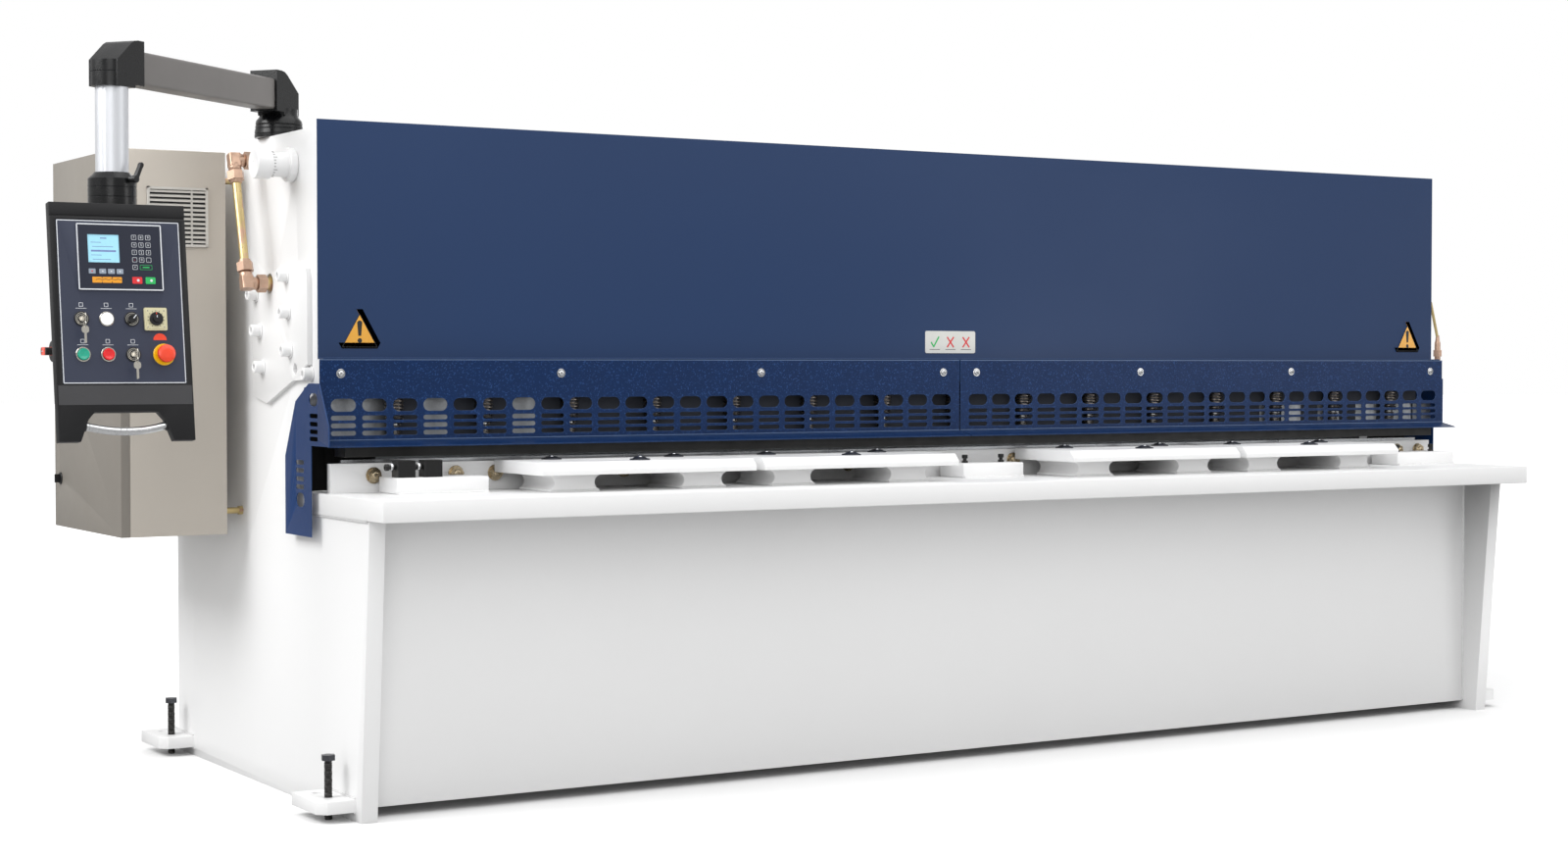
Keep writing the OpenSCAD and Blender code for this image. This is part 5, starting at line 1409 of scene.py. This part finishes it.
def build_stage():
    """Pale floor, soft light and the camera."""
    scene = bpy.context.scene
    scene.view_settings.view_transform = "Standard"
    mesh = bpy.data.meshes.new("floor")
    mesh.from_pydata([(x * FLOOR, y * FLOOR, 0) for x, y in ((-1, -1), (1, -1), (1, 1), (-1, 1))],
        [], [(0, 1, 2, 3)])
    floor = linked("floor", mesh)
    ground = bpy.data.materials.new("Pale studio floor")
    ground.use_nodes = True
    tree = ground.node_tree
    tree.nodes.clear()
    place = add(tree, "ShaderNodeTexCoord").outputs["Object"]
    away = add(tree, "ShaderNodeVectorMath", {0: place, 1: (0.4, 1, 1)}, operation="MULTIPLY")
    length = add(tree, "ShaderNodeVectorMath", {0: away.outputs["Vector"]}, operation="LENGTH")
    lift = add(tree, "ShaderNodeMapRange", {"Value": length.outputs["Value"], "From Min": 1.0,
        "From Max": 2.8, "To Min": 0.02, "To Max": 0.6})
    seen = add(tree, "ShaderNodeBsdfPrincipled", {"Base Color": rgba(linear("#f4f4f4")),
        "Roughness": 0.8, "Specular IOR Level": 0.1, "Emission Color": (1, 1, 1, 1),
        "Emission Strength": lift.outputs["Result"]})
    dim = add(tree, "ShaderNodeBsdfDiffuse", {"Color": rgba(linear("#b4b4b4"))})
    by_ray(tree, "ShaderNodeOutputMaterial", dim, seen)
    mesh.materials.append(ground)

    world = bpy.data.worlds.new("Soft studio")
    scene.world = world
    world.use_nodes = True
    world.node_tree.nodes.clear()
    sky, white = [add(world.node_tree, "ShaderNodeBackground", {"Color": (1, 1, 1, 1),
        "Strength": strength}) for strength in (0.72, 1.0)]
    by_ray(world.node_tree, "ShaderNodeOutputWorld", sky, white)
    for name, place, aim, size, power in LIGHTS:
        light = bpy.data.lights.new(name, "AREA")
        light.shape = "SQUARE"
        light.size = size or scene.shear_sizes.sun_size
        light.energy = power
        lamp = linked(name, light)
        lamp.visible_camera = False
        lamp.location = place
        lamp.rotation_euler = (Vector(aim) - Vector(place)).to_track_quat("-Z", "Y").to_euler()
    camera_data = bpy.data.cameras.new("Camera")
    camera = linked("Camera", camera_data)
    camera_data.sensor_width = CAMERA_FRAME
    camera_data.lens = CAMERA_LENS
    camera_data.clip_end = 200
    camera.location = CAMERA_PLACE
    camera.rotation_euler = [math.radians(turn) for turn in CAMERA_TURN]
    scene.camera = camera


# ---------------------------------------------------------------- operators and panel

def prepare(scene):
    """Makes the finishes and the geometry trees once."""
    if not FINISH:
        FINISH.update(make_finishes(scene.shear_colours))
        TREES.update(copies=copies_tree(), coil=coil_tree(), bead=bead_tree(), guard=guard_tree())


class Step:
    """What every building step does."""

    def execute(self, context):
        prepare(context.scene)
        self.build()
        return {"FINISHED"}


class SHEAR_OT_frame(Step, bpy.types.Operator):
    """Builds the side plates, table, front skin, webs and welds"""
    bl_idname = "shear.frame"
    bl_label = "Welded frame"
    build = staticmethod(build_frame)


class SHEAR_OT_table_fittings(Step, bpy.types.Operator):
    """Builds the blade carrier, support plates, ball units, pads and adjusters"""
    bl_idname = "shear.table_fittings"
    bl_label = "Table fittings"
    build = staticmethod(build_table_fittings)


class SHEAR_OT_blades(Step, bpy.types.Operator):
    """Builds both shear blades"""
    bl_idname = "shear.blades"
    bl_label = "Blades"
    build = staticmethod(build_blades)


class SHEAR_OT_hold_downs(Step, bpy.types.Operator):
    """Builds the hold-down beam, cylinders, return springs and feet"""
    bl_idname = "shear.hold_downs"
    bl_label = "Hold-downs"
    build = staticmethod(build_hold_downs)


class SHEAR_OT_covers(Step, bpy.types.Operator):
    """Builds the front cover, slotted finger guards and side guards"""
    bl_idname = "shear.covers"
    bl_label = "Covers and guards"
    build = staticmethod(build_covers)


class SHEAR_OT_signs(Step, bpy.types.Operator):
    """Builds the triangular signs and the plate of marks"""
    bl_idname = "shear.signs"
    bl_label = "Signs"
    build = staticmethod(build_signs)


class SHEAR_OT_side_fittings(Step, bpy.types.Operator):
    """Builds the brackets, cap screws, gap knob, pivot pins and levelling screws"""
    bl_idname = "shear.side_fittings"
    bl_label = "Side fittings"
    build = staticmethod(build_side_fittings)


class SHEAR_OT_pipework(Step, bpy.types.Operator):
    """Builds the pipes, elbows and union nuts"""
    bl_idname = "shear.pipework"
    bl_label = "Pipework"
    build = staticmethod(build_pipework)


class SHEAR_OT_drive(Step, bpy.types.Operator):
    """Builds the swing beam, cylinders, rods, tank, motor and valves"""
    bl_idname = "shear.drive"
    bl_label = "Drive"
    build = staticmethod(build_drive)


class SHEAR_OT_back_gauge(Step, bpy.types.Operator):
    """Builds the rails, stop beam, lead screw and chute"""
    bl_idname = "shear.back_gauge"
    bl_label = "Back gauge"
    build = staticmethod(build_back_gauge)


class SHEAR_OT_cabinet(Step, bpy.types.Operator):
    """Builds the cabinet, its door, vent, lock and main switch"""
    bl_idname = "shear.cabinet"
    bl_label = "Electrical cabinet"
    build = staticmethod(build_cabinet)


class SHEAR_OT_arm(Step, bpy.types.Operator):
    """Builds the arm's base, knuckles, tube and column"""
    bl_idname = "shear.arm"
    bl_label = "Swivel arm"
    build = staticmethod(build_arm)


class SHEAR_OT_pendant_housing(Step, bpy.types.Operator):
    """Builds the pendant's housing, grab bar and clamp lever"""
    bl_idname = "shear.pendant_housing"
    bl_label = "Pendant housing"
    build = staticmethod(build_pendant_housing)


class SHEAR_OT_pendant_face(Step, bpy.types.Operator):
    """Builds the face plate, controller, keys and printed lines"""
    bl_idname = "shear.pendant_face"
    bl_label = "Pendant face"
    build = staticmethod(build_pendant_face)


class SHEAR_OT_controls(Step, bpy.types.Operator):
    """Builds the buttons, lamp, selector, key switches and timer"""
    bl_idname = "shear.controls"
    bl_label = "Controls"
    build = staticmethod(build_controls)


class SHEAR_OT_stage(Step, bpy.types.Operator):
    """Lays the floor and sets the lights and the camera"""
    bl_idname = "shear.stage"
    bl_label = "Stage"
    build = staticmethod(build_stage)


OPERATORS = (SHEAR_OT_frame, SHEAR_OT_table_fittings, SHEAR_OT_blades, SHEAR_OT_hold_downs,
    SHEAR_OT_covers, SHEAR_OT_signs, SHEAR_OT_side_fittings, SHEAR_OT_pipework, SHEAR_OT_drive,
    SHEAR_OT_back_gauge, SHEAR_OT_cabinet, SHEAR_OT_arm, SHEAR_OT_pendant_housing,
    SHEAR_OT_pendant_face, SHEAR_OT_controls, SHEAR_OT_stage)


class SHEAR_PT_panel(bpy.types.Panel):
    """Settings and building steps of the plate shear."""
    bl_idname = "SHEAR_PT_panel"
    bl_label = "Plate shear"
    bl_space_type = "VIEW_3D"
    bl_region_type = "UI"
    bl_category = "Shear"

    def draw(self, context):
        for group in (context.scene.shear_colours, context.scene.shear_sizes):
            box = self.layout.box()
            for name in group.__annotations__:
                box.prop(group, name)
        for step in OPERATORS:
            self.layout.operator(step.bl_idname)


CLASSES = (ShearColours, ShearSizes, *OPERATORS, SHEAR_PT_panel)


def register():
    for item in CLASSES:
        bpy.utils.register_class(item)
    bpy.types.Scene.shear_colours = bpy.props.PointerProperty(type=ShearColours)
    bpy.types.Scene.shear_sizes = bpy.props.PointerProperty(type=ShearSizes)


def unregister():
    del bpy.types.Scene.shear_sizes
    del bpy.types.Scene.shear_colours
    for item in reversed(CLASSES):
        bpy.utils.unregister_class(item)


def main():
    register()
    bpy.ops.shear.frame()
    bpy.ops.shear.table_fittings()
    bpy.ops.shear.blades()
    bpy.ops.shear.hold_downs()
    bpy.ops.shear.covers()
    bpy.ops.shear.signs()
    bpy.ops.shear.side_fittings()
    bpy.ops.shear.pipework()
    bpy.ops.shear.drive()
    bpy.ops.shear.back_gauge()
    bpy.ops.shear.cabinet()
    bpy.ops.shear.arm()
    bpy.ops.shear.pendant_housing()
    bpy.ops.shear.pendant_face()
    bpy.ops.shear.controls()
    bpy.ops.shear.stage()


if __name__ == "__main__":
    main()
